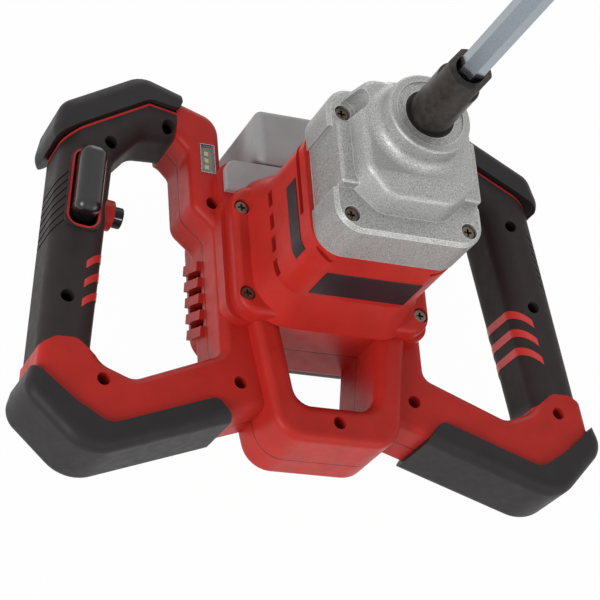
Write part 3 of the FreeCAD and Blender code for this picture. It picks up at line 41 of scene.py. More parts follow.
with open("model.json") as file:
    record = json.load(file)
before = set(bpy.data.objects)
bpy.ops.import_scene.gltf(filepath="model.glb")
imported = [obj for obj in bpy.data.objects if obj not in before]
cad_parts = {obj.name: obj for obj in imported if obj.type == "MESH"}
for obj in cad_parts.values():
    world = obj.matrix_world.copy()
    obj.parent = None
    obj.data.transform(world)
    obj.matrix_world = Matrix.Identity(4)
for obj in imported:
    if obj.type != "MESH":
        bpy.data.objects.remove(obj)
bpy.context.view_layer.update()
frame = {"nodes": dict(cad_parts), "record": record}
NODES = frame["nodes"]
JOINTS = {joint["name"]: joint for joint in frame["record"]["behaviour"]["joints"]}

# Levels of the handles, read from the frame.
PARTING_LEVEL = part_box("rear_shell")[1].z
BASE_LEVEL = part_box("right_grip")[0].z
FACE_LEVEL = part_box("right_grip")[1].z

# Inner side of the right grip, from its foot to its top, and the radius of its rims.
GRIP_FOOT = Vector((0.1403, -0.0926, 0))
GRIP_HEAD = Vector((0.1222, 0.036, 0))
GRIP_ROUND = 0.0115
STRIPE_SWEEP = math.radians(85)
STRIPE_PARTS, STRIPE_STEPS = 7, 2

# Where the grips cover the hard shells: beyond these places across and along the handles. The shells are
# painted in deep shade there, where only the screw wells show them.
GRIP_COVER = (0.117, -0.078)
ARM_COVER = (0.0845, 0.033)

# Widths over which one colour gives way to another, at plain edges and at fine ones.
COVER_EDGE = 0.0005
FINE_EDGE = COVER_EDGE / 4

# Edges of the upper bumpers over the right grip: each line's normal, and its distance from the spindle.
TOP_EDGE = (-0.197, 0.98, 0.0559)
SHOULDER_EDGE = (0.483, 0.875, 0.1166)
SIDE_EDGE = (0.548, 0.8365, 0.1239)

# The neck's side wall, front wall and corner radius, and where the bare plates lie on it.
NECK_SIDE, NECK_FRONT, NECK_ROUND = 0.0455, 0.0575, 0.017
FRONT_PLATE = ((-0.0275, 0.1125), (0.0315, 0.1372))
SIDE_PLATE_BACK, SIDE_PLATE_LOW, SIDE_PLATE_HIGH = -0.005, 0.1328, 0.1446
SIDE_PLATE_WRAP = math.radians(30)
SIDE_PLATE_STEPS = 8

# Outer corner radius of the trigger's rim.
RIM_ROUND = 0.0089

# How far the dial's pointer is turned to the front at rest.
MARK_TURN = math.radians(35)

# The photograph's camera, its axes to the right, up and back, and its lens and sensor in millimetres.
CAMERA_PLACE = (-0.4695, -0.5505, 0.9949)
CAMERA_AXES = ((0.90976, -0.07529, 0.40826), (-0.12068, 0.89299, 0.4336), (-0.39721, -0.44374, 0.80332))
CAMERA_LENS, CAMERA_SENSOR = 119.2, 36

# Studio: floor, lamps by name, place, size and power, and the point that they face.
FLOOR_HALF = 4
LAMPS = (
    ("key_lamp", (-1.7, -1.0, 0.8), 1.0, 22),
    ("fill_lamp", (0.9, -1.6, 0.9), 1.2, 8),
    ("rim_lamp", (0.3, 1.5, 0.6), 1.0, 5),
)
LAMP_AIM = (0, 0, 0.1)
WORLD_LIGHT = 0.36
FLOOR_GLOW = 0.98

# Usual spread of a noise texture's values.
NOISE_LOW, NOISE_HIGH = 0.3, 0.7

# Moulded surfaces: scales of their mottling and uneven gloss, spread of the gloss, and strength of the grain.
MOTTLE_SCALE, GLOSS_SCALE, GLOSS_SPREAD, GRAIN_STRENGTH = 60, 180, 0.05, 0.6
MATTE_SPECULAR, POLISHED_SPECULAR = 0.2, 0.5

# Metals: how much smoother and rougher than its mean a surface gets, and the depth and strength of its marks.
METAL_SMOOTHER, METAL_ROUGHER, METAL_DEPTH, METAL_STRENGTH = 0.06, 0.08, 0.00001, 0.4

# The dark line between the shells: half its width, where it has faded out, and its groove's edge and depth.
PARTING_HALF, PARTING_FADE, PARTING_EDGE, PARTING_DEPTH = 0.00025, 0.0005, 0.0006, 0.0004

# How dark or light some places are, as shares of the colour round them: the dark parting line, painted shade
# in the screw wells and in the gap beside the bumpers, and casting edges lightened by wear and painted
# highlight.
PARTING_SHARE, WELL_SHADE_SHARE, GAP_SHADE_SHARE, WEAR_AND_HIGHLIGHT_SHARE = 0.25, 0.04, 0.1, 1.7
SPECKLE_SHARES = (0.6, 1.28)

# Edges lightened by wear and by painted highlight: cosines between the bevelled and the true normal on an
# edge and on a flat face, and samples.
EDGE_FULL, EDGE_FLAT, EDGE_SAMPLES = 0.9, 0.995, 6

# The lamp window's ribs: radians of their wave in each metre, and their depth.
LENS_RIBS, LENS_DEPTH = 4200, 0.00006

# Vertices of one piece that are closer than this are merged.
MERGE_GAP = 0.00001


def colour(label, words, value):
    """A colour that a user may change."""
    return FloatVectorProperty(name=label, description=words, default=value,
                               subtype="COLOR", size=3, min=0, max=1)


def length(label, words, value):
    """A length in metres that a user may change."""
    return FloatProperty(name=label, description=words, unit="LENGTH", precision=4, min=0, default=value)


class DrillColours(bpy.types.PropertyGroup):
    """Colours of the drill's finishes"""

    shell_red: colour("Shell red", "Moulded body and handle frame", (0.5, 0.024, 0.017))
    trim_red: colour("Trim red", "Thin lines and stripes on the grips", (0.63, 0.038, 0.032))
    grip_dark: colour("Grip", "Soft covers on the handles", (0.028, 0.021, 0.0215))
    bumper_dark: colour("Bumper", "Corner pads", (0.023, 0.02, 0.021))
    casting: colour("Casting", "Gear case", (0.43, 0.43, 0.42))
    rod_plate: colour("Rod plating", "Plated stirrer rod", (0.3, 0.34, 0.38))
    nose_dark: colour("Nose", "Blackened spindle nose", (0.055, 0.048, 0.044))
    screw_nickel: colour("Screws", "Nickel screw heads", (0.15, 0.125, 0.1))
    # Painted shade: the handle screws are near-black to stand for the deep shade in their wells.
    screw_well_shade: colour("Deep screws", "Blackened screws in the handles", (0.014, 0.012, 0.012))
    pack_grey: colour("Battery", "Battery case", (0.38, 0.38, 0.385))
    gloss_black: colour("Gloss black", "Trigger and dial", (0.006, 0.006, 0.0065))
    matte_black: colour("Matte black", "Rear cover and inner plastics", (0.03, 0.03, 0.031))
    plate_dark: colour("Plates", "Bare plates on the housing", (0.025, 0.018, 0.022))
    lamp_board: colour("Lamp board", "Board under the lamp's window", (0.2, 0.21, 0.17))
    chip_yellow: colour("Lamp chips", "Phosphor on the light chips", (0.8, 0.62, 0.2))
    mark_white: colour("Dial mark", "Pointer on the speed dial", (0.75, 0.75, 0.73))
    steel: colour("Steel", "Gears, shafts and bearings", (0.48, 0.49, 0.51))
    bronze: colour("Bronze", "Sintered bushes", (0.42, 0.27, 0.12))
    copper: colour("Copper", "Windings, commutator and brushes", (0.55, 0.24, 0.11))
    board_green: colour("Control board", "Motor control board", (0.02, 0.13, 0.06))
    cell_blue: colour("Cells", "Wrap of the battery cells", (0.06, 0.16, 0.3))
    frame_plate: colour("Lamp frame", "Plated rim of the lamp", (0.4, 0.4, 0.4))


class DrillSizes(bpy.types.PropertyGroup):
    """Sizes of the drill's trim"""

    stripe_width: length("Stripe width", "Width of each red stripe on a grip", 0.0051)
    stripe_pitch: length("Stripe pitch", "Distance between two stripes", 0.0121)
    stripe_slant: length("Stripe slant", "How far a stripe falls from the side to its end", 0.0105)
    stripe_level: FloatProperty(name="First stripe", description="Place of the first stripe's lower edge",
                                unit="LENGTH", precision=4, default=-0.0303)
    stripe_lift: length("Stripe lift", "How far a stripe stands out", 0.0003)
    stripe_count: IntProperty(name="Stripes", description="Stripes on each grip", default=3, min=1, max=6)
    trim_width: length("Trim width", "Width of the red line beside each upper bumper", 0.0014)
    # The gap's darkness is painted shade from the bumper that stands over it.
    trim_gap: length("Trim gap", "Dark gap between the red line and the bumper", 0.0012)
    rim_border: length("Rim border", "Dark border outside the red line round the trigger", 0.0009)
    rim_depth: length("Rim depth", "How far the red line runs down the rim's walls", 0.0009)
    plate_depth: length("Plate depth", "Thickness of the bare plates", 0.0004)
    lamp_rim: length("Lamp rim", "Width of the lamp's plated rim", 0.0003)
    lamp_rise: length("Lamp rise", "Height of the lamp's rim over the column", 0.0005)
    chip_height: length("Chip height", "Height of the light chips on their board", 0.0008)
    mark_length: length("Mark length", "Length of the dial's pointer", 0.0046)
    mark_width: length("Mark width", "Width of the dial's pointer", 0.0006)
    # The bright edges are partly wear and partly painted highlight.
    edge_wear_and_highlight: length("Edge wear", "Width of the bright edges of the casting", 0.0007)


def colours():
    """The scene's own colours."""
    return bpy.context.scene.drill_colours


def sizes():
    """The scene's own sizes."""
    return bpy.context.scene.drill_sizes


class Finish:
    """A material whose colour, roughness and relief come from Object coordinates."""

    def __init__(self, name):
        self.material = bpy.data.materials.new(name)
        self.material.use_nodes = True
        self.tree = self.material.node_tree
        self.shader = self.tree.nodes["Principled BSDF"]
        self.place = self.add("ShaderNodeTexCoord").outputs["Object"]

    def add(self, kind, **values):
        """Adds a node with some of its settings."""
        node = self.tree.nodes.new(kind)
        for name, value in values.items():
            setattr(node, name, value)
        return node

    def join(self, source, target):
        """Links an output to an input."""
        self.tree.links.new(source, target)

    def set(self, **values):
        """Sets the shader's own sockets, with underscores for the spaces in their names."""
        for name, value in values.items():
            self.shader.inputs[name.replace("_", " ")].default_value = value

    def noise(self, scale, detail=3.0):
        """A noise texture's values."""
        node = self.add("ShaderNodeTexNoise")
        node.inputs["Scale"].default_value = scale
        node.inputs["Detail"].default_value = detail
        self.join(self.place, node.inputs["Vector"])
        return node.outputs["Fac"]

    def ranged(self, source, low, high, start=NOISE_LOW, end=NOISE_HIGH):
        """Takes values between start and end to values between low and high."""
        node = self.add("ShaderNodeMapRange")
        for name, value in (("From Min", start), ("From Max", end), ("To Min", low), ("To Max", high)):
            node.inputs[name].default_value = value
        self.join(source, node.inputs["Value"])
        return node.outputs["Result"]

    def beyond(self, source, edge):
        """1 where the values lie past an edge."""
        return self.ranged(source, 0, 1, edge, edge + COVER_EDGE)

    def math(self, operation, first, second=None):
        """One operation on numbers or sockets."""
        node = self.add("ShaderNodeMath", operation=operation)
        for index, value in enumerate((first, second)):
            if value is None:
                continue
            if isinstance(value, (int, float)):
                node.inputs[index].default_value = value
            else:
                self.join(value, node.inputs[index])
        return node.outputs["Value"]

    def axis(self, name):
        """One of the three Object coordinates."""
        node = self.add("ShaderNodeSeparateXYZ")
        self.join(self.place, node.inputs["Vector"])
        return node.outputs[name]

    def along(self, side):
        """Distance along a direction."""
        node = self.add("ShaderNodeVectorMath", operation="DOT_PRODUCT")
        self.join(self.place, node.inputs[0])
        node.inputs[1].default_value = side
        return node.outputs["Value"]

    def across(self):
        """Distance from the drill's middle plane, the same on both handles."""
        return self.math("ABSOLUTE", self.axis("X"))

    def mix(self, factor, first, second):
        """A blend of two colours."""
        node = self.add("ShaderNodeMix", data_type="RGBA")
        self.join(factor, node.inputs["Factor"])
        for name, value in (("A", first), ("B", second)):
            socket = next(s for s in node.inputs if s.name == name and s.type == "RGBA")
            if isinstance(value, bpy.types.NodeSocket):
                self.join(value, socket)
            else:
                socket.default_value = (*value, 1)
        return next(s for s in node.outputs if s.type == "RGBA")

    def paint(self, source):
        """Gives the shader its colour."""
        self.join(source, self.shader.inputs["Base Color"])

    def cover(self, mask, value):
        """Paints a colour over the present one where the mask is 1."""
        self.paint(self.mix(mask, self.shader.inputs["Base Color"].links[0].from_socket, value))

    def rough(self, source):
        """Gives the shader its roughness."""
        self.join(source, self.shader.inputs["Roughness"])

    def relief(self, source, depth, strength=1.0):
        """Lays a fine relief over what is there already."""
        node = self.add("ShaderNodeBump")
        node.inputs["Distance"].default_value = depth
        node.inputs["Strength"].default_value = strength
        previous = self.shader.inputs["Normal"]
        if previous.is_linked:
            self.join(previous.links[0].from_socket, node.inputs["Normal"])
        self.join(source, node.inputs["Height"])
        self.join(node.outputs["Normal"], previous)

    def edges(self, radius):
        """1 along sharp edges, fading out over a radius."""
        bevel = self.add("ShaderNodeBevel", samples=EDGE_SAMPLES)
        bevel.inputs["Radius"].default_value = radius
        facing = self.add("ShaderNodeVectorMath", operation="DOT_PRODUCT")
        self.join(bevel.outputs["Normal"], facing.inputs[0])
        self.join(self.add("ShaderNodeNewGeometry").outputs["Normal"], facing.inputs[1])
        return self.ranged(facing.outputs["Value"], 1, 0, EDGE_FULL, EDGE_FLAT)


def beside(direction):
    """A level direction, turned a quarter to the left."""
    return Vector((-direction.y, direction.x, 0))


def upright(across, along):
    """A turn that takes X and Y to two level directions and leaves Z upright."""
    return Matrix((across, along, (0, 0, 1))).transposed().to_4x4()


def shade(value, share):
    """A colour made darker or lighter by a share."""
    return tuple(min(1, c * share) for c in value)


def mottled(made, base, scale, spread):
    """Paints a colour that is a little uneven."""
    mask = made.ranged(made.noise(scale), 0, 1)
    made.paint(made.mix(mask, shade(base, 1 - spread), shade(base, 1 + spread)))


def moulded(name, base, rough, grain=1400, depth=0.00004, spread=0.08):
    """Moulded plastic or rubber: faint mottling, uneven gloss and a fine grain."""
    made = Finish(name)
    mottled(made, base, MOTTLE_SCALE, spread)
    made.rough(made.ranged(made.noise(GLOSS_SCALE), rough - GLOSS_SPREAD, rough + GLOSS_SPREAD))
    made.relief(made.noise(grain, detail=2), depth, GRAIN_STRENGTH)
    made.set(Specular_IOR_Level=MATTE_SPECULAR)
    return made


def shell_finish():
    """Red shells with a dark parting line, and painted deep shade where only screw wells in the grips show
    them.
    """
    base = colours().shell_red
    made = moulded("red_shell", base, rough=0.42)
    gap = made.math("ABSOLUTE", made.math("SUBTRACT", made.axis("Z"), PARTING_LEVEL))
    made.cover(made.ranged(gap, 1, 0, PARTING_HALF, PARTING_FADE), shade(base, PARTING_SHARE))
    made.relief(made.ranged(gap, 0, 1, PARTING_HALF, PARTING_EDGE), PARTING_DEPTH)
    # Painted shade: the shells under the grips are near-black, standing for the deep shadow inside the screw
    # wells.
    well_shade_areas = []
    for side, foot in (GRIP_COVER, ARM_COVER):
        outward, forward = made.beyond(made.across(), side), made.beyond(made.axis("Y"), foot)
        well_shade_areas.append(made.math("MULTIPLY", outward, forward))
    made.cover(made.math("MAXIMUM", *well_shade_areas), shade(base, WELL_SHADE_SHARE))
    return made.material


def bumper_edge(made, line):
    """Distance past one straight edge of the upper bumpers, below zero on the grip's side."""
    across, along, reach = line
    sideways = made.math("MULTIPLY", made.across(), across)
    forward = made.math("MULTIPLY", made.axis("Y"), along)
    return made.math("SUBTRACT", made.math("ADD", sideways, forward), reach)


def grip_finish():
    """Soft grip with a thin red line, and a groove beside the upper bumper painted in shade."""
    base, size = colours().grip_dark, sizes()
    made = moulded("soft_grip", base, rough=0.58, grain=1800, depth=0.00006, spread=0.12)
    top, shoulder, side = (bumper_edge(made, line) for line in (TOP_EDGE, SHOULDER_EDGE, SIDE_EDGE))
    past = made.math("MAXIMUM", made.math("MAXIMUM", top, shoulder), side)
    start = -size.trim_gap - size.trim_width
    made.cover(made.ranged(past, 0, 1, start - FINE_EDGE, start), colours().trim_red)
    # Painted shade: the groove between the red line and the bumper is darkened as if it lay in the bumper's
    # shadow.
    gap = made.ranged(past, 0, 1, -size.trim_gap - FINE_EDGE, -size.trim_gap)
    made.cover(gap, shade(base, GAP_SHADE_SHARE))
    made.relief(made.math("SUBTRACT", 1, gap), size.trim_gap / 2)
    return made.material


def rim_finish():
    """Rim of the trigger's opening: a red line on its top, dark outside the line and down its walls."""
    size, dark = sizes(), colours().grip_dark
    made = moulded("trigger_rim", colours().trim_red, rough=0.4)
    across = Vector(JOINTS["trigger_press"]["axis"]).normalized()
    squares = []
    for side in (across, beside(across)):
        reach = [vertex.co.dot(side) for vertex in NODES["trigger_rim"].data.vertices]
        middle, half = (max(reach) + min(reach)) / 2, (max(reach) - min(reach)) / 2
        place = made.math("ABSOLUTE", made.math("SUBTRACT", made.along(side), middle))
        past = made.math("MAXIMUM", made.math("SUBTRACT", place, half - RIM_ROUND), 0)
        squares.append(made.math("MULTIPLY", past, past))
    distance = made.math("SQRT", made.math("ADD", *squares))
    made.cover(made.beyond(distance, RIM_ROUND - size.rim_border), dark)
    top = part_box("trigger_rim")[1].z
    made.cover(made.ranged(made.axis("Z"), 1, 0, top - size.rim_depth, top - size.rim_depth / 2), dark)
    return made.material


def casting_finish():
    """As-cast aluminium: sandy speckle over a slightly uneven skin, with edges lightened by wear and by
    painted highlight.
    """
    base = colours().casting
    made = Finish("cast_aluminium")
    made.set(Metallic=0.7)
    speckle = made.ranged(made.noise(scale=1800, detail=4), 0, 1, start=0.35, end=0.65)
    made.paint(made.mix(speckle, *(shade(base, share) for share in SPECKLE_SHARES)))
    # Lighter edges, convex and concave alike: partly rubbed wear, partly painted highlight.
    made.cover(made.edges(sizes().edge_wear_and_highlight), shade(base, WEAR_AND_HIGHLIGHT_SHARE))
    made.rough(made.ranged(made.noise(scale=700), low=0.4, high=0.62))
    made.relief(made.noise(scale=1300, detail=3), depth=0.00018, strength=0.7)
    made.relief(made.noise(scale=120, detail=2), depth=0.0003, strength=0.35)
    return made.material


def metal(name, base, rough, scale=400, spread=0.15, metallic=1.0):
    """Plated, turned or ground metal."""
    made = Finish(name)
    made.set(Metallic=metallic)
    mottled(made, base, scale, spread)
    made.rough(made.ranged(made.noise(scale * 2, detail=2), rough - METAL_SMOOTHER, rough + METAL_ROUGHER))
    made.relief(made.noise(scale * 3, detail=2), METAL_DEPTH, METAL_STRENGTH)
    return made.material


def gloss(name, base, rough):
    """Polished plastic with a clear top."""
    made = moulded(name, base, rough, grain=900, depth=0.00001, spread=0.05)
    made.set(Specular_IOR_Level=POLISHED_SPECULAR, Coat_Weight=0.15, Coat_Roughness=0.08)
    return made.material


def lamp_board_finish():
    """Lamp board with yellow phosphor on its raised chips."""
    made = moulded("lamp_board", colours().lamp_board, rough=0.35)
    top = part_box("lamp_board")[1].z - sizes().chip_height
    made.cover(made.beyond(made.axis("Z"), top + FINE_EDGE), colours().chip_yellow)
    return made.material


def clear_finish():
    """Clear lamp window with faint ribs."""
    made = Finish("lamp_clear")
    made.set(Transmission_Weight=1.0, IOR=1.46, Base_Color=(0.95, 0.96, 0.97, 1))
    made.rough(made.ranged(made.noise(scale=300), low=0.04, high=0.1))
    ribs = made.math("SINE", made.math("MULTIPLY", made.axis("Y"), LENS_RIBS))
    made.relief(ribs, LENS_DEPTH, strength=0.4)
    return made.material


def dress(material, *names):
    """Gives one finish to CAD nodes."""
    for name in names:
        slots = NODES[name].data.materials
        slots.clear()
        slots.append(material)


def piece(name, work, body, material):
    """Closes a bmesh into an object that rides on a body and takes a slot's finish."""
    bmesh.ops.remove_doubles(work, verts=work.verts, dist=MERGE_GAP)
    bmesh.ops.recalc_face_normals(work, faces=work.faces)
    mesh = bpy.data.meshes.new(name)
    work.to_mesh(mesh)
    work.free()
    made = bpy.data.objects.new(name, mesh)
    bpy.context.scene.collection.objects.link(made)
    mesh.materials.append(material)
    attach(made, body)


def slab(work, low, high, edge, segments=2):
    """A block between two corners with rounded edges."""
    made = bmesh.ops.create_cube(work, size=1)["verts"]
    low, high = Vector(low), Vector(high)
    bmesh.ops.scale(work, vec=high - low, verts=made)
    bmesh.ops.translate(work, vec=(low + high) / 2, verts=made)
    edges = list({e for v in made for e in v.link_edges})
    bmesh.ops.bevel(work, geom=edges, offset=edge, affect="EDGES", segments=segments, profile=0.5,
                    material=-1)


def points(result):
    """The vertices among an operator's new geometry."""
    return [g for g in result if isinstance(g, bmesh.types.BMVert)]


def swept(work, geom, centre, axis, angle, steps, drift=(0, 0, 0)):
    """Spins geometry round an axis, with a drift at each step."""
    return bmesh.ops.spin(work, geom=geom, cent=centre, axis=axis, dvec=drift, angle=angle, steps=steps,
                          use_merge=False, use_normal_flip=False, use_duplicate=False)["geom_last"]


def thickened(work, thickness):
    """Merges a sheet's doubles, turns its faces one way and gives it a thickness."""
    bmesh.ops.remove_doubles(work, verts=work.verts, dist=MERGE_GAP)
    bmesh.ops.recalc_face_normals(work, faces=work.faces)
    bmesh.ops.solidify(work, geom=work.faces[:], thickness=thickness)


def twins(label, make, material):
    """Makes a piece of the frame for the right side, and its mirrored twin for the left."""
    for side in ("right", "left"):
        work = bmesh.new()
        make(work)
        if side == "left":
            bmesh.ops.scale(work, vec=(-1, 1, 1), verts=work.verts)
        piece(f"{side}_{label}", work, "frame", material)


class DRILL_OT_shells(bpy.types.Operator):
    """Red moulded shells, neck, trigger rim and dial bezel"""

    bl_idname = "drill.shells"
    bl_label = "Red shells"

    def execute(self, context):
        dress(shell_finish(), "front_shell", "rear_shell")
        plain = moulded("red_housing", colours().shell_red, rough=0.4)
        dress(plain.material, "neck_housing", "dial_bezel")
        dress(rim_finish(), "trigger_rim")
        return {"FINISHED"}


class DRILL_OT_grips(bpy.types.Operator):
    """Soft grips and corner bumpers"""

    bl_idname = "drill.grips"
    bl_label = "Grips and bumpers"

    def execute(self, context):
        dress(grip_finish(), "left_grip", "right_grip")
        pad = moulded("bumper_pad", colours().bumper_dark, rough=0.5, grain=1500, depth=0.00006, spread=0.1)
        dress(pad.material, "upper_left_bumper", "upper_right_bumper", "lower_left_bumper",
              "lower_right_bumper", "spindle_seal")
        return {"FINISHED"}


class DRILL_OT_castings(bpy.types.Operator):
    """Gear case, bearing plate and hub ring"""

    bl_idname = "drill.castings"
    bl_label = "Castings"

    def execute(self, context):
        dress(casting_finish(), "gear_case", "gear_plate", "hub_ring")
        return {"FINISHED"}


class DRILL_OT_drive(bpy.types.Operator):
    """Stirrer rod, spindle, gears and bearings"""

    bl_idname = "drill.drive"
    bl_label = "Drive train"

    def execute(self, context):
        rod = metal("zinc_rod", colours().rod_plate, rough=0.2, scale=900, spread=0.06)
        dress(rod, "stirrer_rod")
        nose = metal("black_nose", colours().nose_dark, rough=0.36, scale=250, spread=0.3, metallic=0.8)
        dress(nose, "spindle")
        steel = metal("ground_steel", colours().steel, rough=0.3)
        dress(steel, "output_gear", "layshaft", "layshaft_gear", "motor_shaft", "rotor_core", "stator",
              "spindle_front_bearing", "motor_front_bearing", "motor_rear_bearing", "trigger_pin",
              "trigger_spring")
        bronze = metal("sintered_bronze", colours().bronze, rough=0.45)
        dress(bronze, "spindle_rear_bush", "layshaft_front_bush", "layshaft_rear_bush")
        copper = metal("copper_wire", colours().copper, rough=0.35)
        dress(copper, "rotor_windings", "commutator", "brushes")
        return {"FINISHED"}


class DRILL_OT_screws(bpy.types.Operator):
    """All cross-head screws"""

    bl_idname = "drill.screws"
    bl_label = "Screws"

    def execute(self, context):
        nickel = metal("dark_nickel", colours().screw_nickel, rough=0.32, scale=900, spread=0.25)
        dress(nickel, "gear_case_screws", "flange_screws", "cover_screws")
        # Painted shade: near-black handle screws stand for the shade at the bottom of their deep wells.
        black = metal("well_shade_screw", colours().screw_well_shade, rough=0.45, scale=900, spread=0.2)
        dress(black, "handle_screws")
        return {"FINISHED"}


class DRILL_OT_controls(bpy.types.Operator):
    """Trigger, speed dial with its white pointer, and switch"""

    bl_idname = "drill.controls"
    bl_label = "Controls"

    def execute(self, context):
        dress(gloss("gloss_black", colours().gloss_black, rough=0.22), "trigger")
        dress(moulded("dial_black", colours().gloss_black, rough=0.4).material, "speed_dial")
        dark = moulded("dark_plastic", colours().matte_black, rough=0.45).material
        dress(dark, "trigger_switch", "rear_cover", "brush_holder", "terminal_block", "battery_rail",
              "cooling_fan")
        dress(moulded("circuit_board", colours().board_green, rough=0.4, grain=500).material, "control_board")
        self.pointer(sizes())
        return {"FINISHED"}

    def pointer(self, size):
        """A thin white bar along the dial's rim."""
        joint = JOINTS["dial_turn"]
        centre, across = Vector(joint["pos_m"]), Vector(joint["axis"]).normalized()
        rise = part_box("speed_dial")[1].z - centre.z
        start, half = size.mark_width, size.mark_width / 2
        corners = (start, -half, rise - half), (start + size.mark_length, half, rise + half / 2)
        work = bmesh.new()
        slab(work, *corners, edge=half / 3)
        place = upright(across, beside(across)) @ Matrix.Rotation(MARK_TURN, 4, "X")
        bmesh.ops.transform(work, matrix=Matrix.Translation(centre) @ place, verts=work.verts)
        white = moulded("mark_white", colours().mark_white, rough=0.4)
        piece("dial_pointer", work, "dial", white.material)


class DRILL_OT_battery(bpy.types.Operator):
    """Battery case, lid, dock, cells and latch"""

    bl_idname = "drill.battery"
    bl_label = "Battery"

    def execute(self, context):
        grey = moulded("battery_grey", colours().pack_grey, rough=0.4).material
        dress(grey, "battery_case", "battery_lid", "battery_dock", "battery_latch")
        dress(gloss("cell_wrap", colours().cell_blue, rough=0.3), "battery_cells")
        return {"FINISHED"}


class DRILL_OT_lamp(bpy.types.Operator):
    """Lamp window, its board with yellow chips, and a plated rim"""

    bl_idname = "drill.lamp"
    bl_label = "Work lamp"

    def execute(self, context):
        dress(clear_finish(), "lamp_window")
        dress(lamp_board_finish(), "lamp_board")
        low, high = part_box("lamp_window")
        rim, rise = sizes().lamp_rim, sizes().lamp_rise
        edge = rim / 4
        base, top = high.z - rise, high.z + rise
        work = bmesh.new()
        slab(work, (low.x - rim, low.y - rim, base), (low.x, high.y + rim, top), edge)
        slab(work, (high.x, low.y - rim, base), (high.x + rim, high.y + rim, top), edge)
        slab(work, (low.x, low.y - rim, base), (high.x, low.y, top), edge)
        slab(work, (low.x, high.y, base), (high.x, high.y + rim, top), edge)
        piece("lamp_rim", work, "frame", metal("lamp_rim", colours().frame_plate, rough=0.25))
        return {"FINISHED"}


def stripe_band(work, size):
    """A band round a grip's inner side, in the side's own frame: X into the grip, Y along it, Z up."""
    levels = (FACE_LEVEL - GRIP_ROUND, BASE_LEVEL + GRIP_ROUND)
    upper = work.verts.new((-size.stripe_lift, 0, levels[0]))
    lower = bmesh.ops.extrude_vert_indiv(work, verts=[upper])["verts"][0]
    bmesh.ops.translate(work, vec=(0, 0, levels[1] - levels[0]), verts=[lower])
    turn = STRIPE_SWEEP / STRIPE_PARTS
    for start, level, angle in ((upper, levels[0], turn), (lower, levels[1], -turn)):
        last = [start]
        for part in range(STRIPE_PARTS):
            fall = size.stripe_slant * (2 * part + 1) / STRIPE_PARTS ** 2
            drift = (0, -fall / STRIPE_STEPS, 0)
            last = swept(work, last, (GRIP_ROUND, 0, level), (0, 1, 0), angle, STRIPE_STEPS, drift)
    wide = bmesh.ops.extrude_edge_only(work, edges=work.edges[:])["geom"]
    bmesh.ops.translate(work, vec=(0, size.stripe_width, 0), verts=points(wide))
    thickened(work, size.stripe_lift * 2)


class DRILL_OT_stripes(bpy.types.Operator):
    """Red stripes round the inner side of both grips"""

    bl_idname = "drill.stripes"
    bl_label = "Grip stripes"

    def execute(self, context):
        size = sizes()
        red = gloss("stripe_red", colours().trim_red, rough=0.4)
        along = (GRIP_HEAD - GRIP_FOOT).normalized()
        place = upright(-beside(along), along)
        for index in range(size.stripe_count):
            rise = (size.stripe_level - size.stripe_pitch * index - GRIP_FOOT.y) / along.y
            place.translation = GRIP_FOOT + along * rise
            twins(f"grip_stripe_{index + 1}", lambda work: self.stripe(work, size, place), red)
        return {"FINISHED"}

    def stripe(self, work, size, place):
        """One stripe on the right grip."""
        stripe_band(work, size)
        bmesh.ops.transform(work, matrix=place, verts=work.verts)


class DRILL_OT_plates(bpy.types.Operator):
    """Bare dark plates on the front and sides of the housing"""

    bl_idname = "drill.plates"
    bl_label = "Bare plates"

    def execute(self, context):
        depth = sizes().plate_depth
        film = moulded("plate_film", colours().plate_dark, rough=0.35, grain=700, depth=0.00001,
                       spread=0.1).material
        (left, low), (right, high) = FRONT_PLATE
        work = bmesh.new()
        corners = (left, -NECK_FRONT - depth, low), (right, -NECK_FRONT + depth, high)
        slab(work, *corners, edge=depth / 2, segments=1)
        piece("front_plate", work, "frame", film)
        twins("plate", lambda work: self.side_plate(work, depth), film)
        return {"FINISHED"}

    def side_plate(self, work, depth):
        """A plate along the right side wall that runs on round the front corner."""
        corner = (NECK_SIDE - NECK_ROUND, NECK_ROUND - NECK_FRONT, 0)
        foot = work.verts.new((NECK_SIDE + depth, SIDE_PLATE_BACK, SIDE_PLATE_LOW))
        head = bmesh.ops.extrude_vert_indiv(work, verts=[foot])["verts"]
        bmesh.ops.translate(work, vec=(0, 0, SIDE_PLATE_HIGH - SIDE_PLATE_LOW), verts=head)
        run = bmesh.ops.extrude_edge_only(work, edges=work.edges[:])["geom"]
        bmesh.ops.translate(work, vec=(0, corner[1] - SIDE_PLATE_BACK, 0), verts=points(run))
        front = [e for e in run if isinstance(e, bmesh.types.BMEdge)
                 and all(v in points(run) for v in e.verts)]
        swept(work, front + points(run), corner, (0, 0, 1), -SIDE_PLATE_WRAP, SIDE_PLATE_STEPS)
        thickened(work, depth * 2)


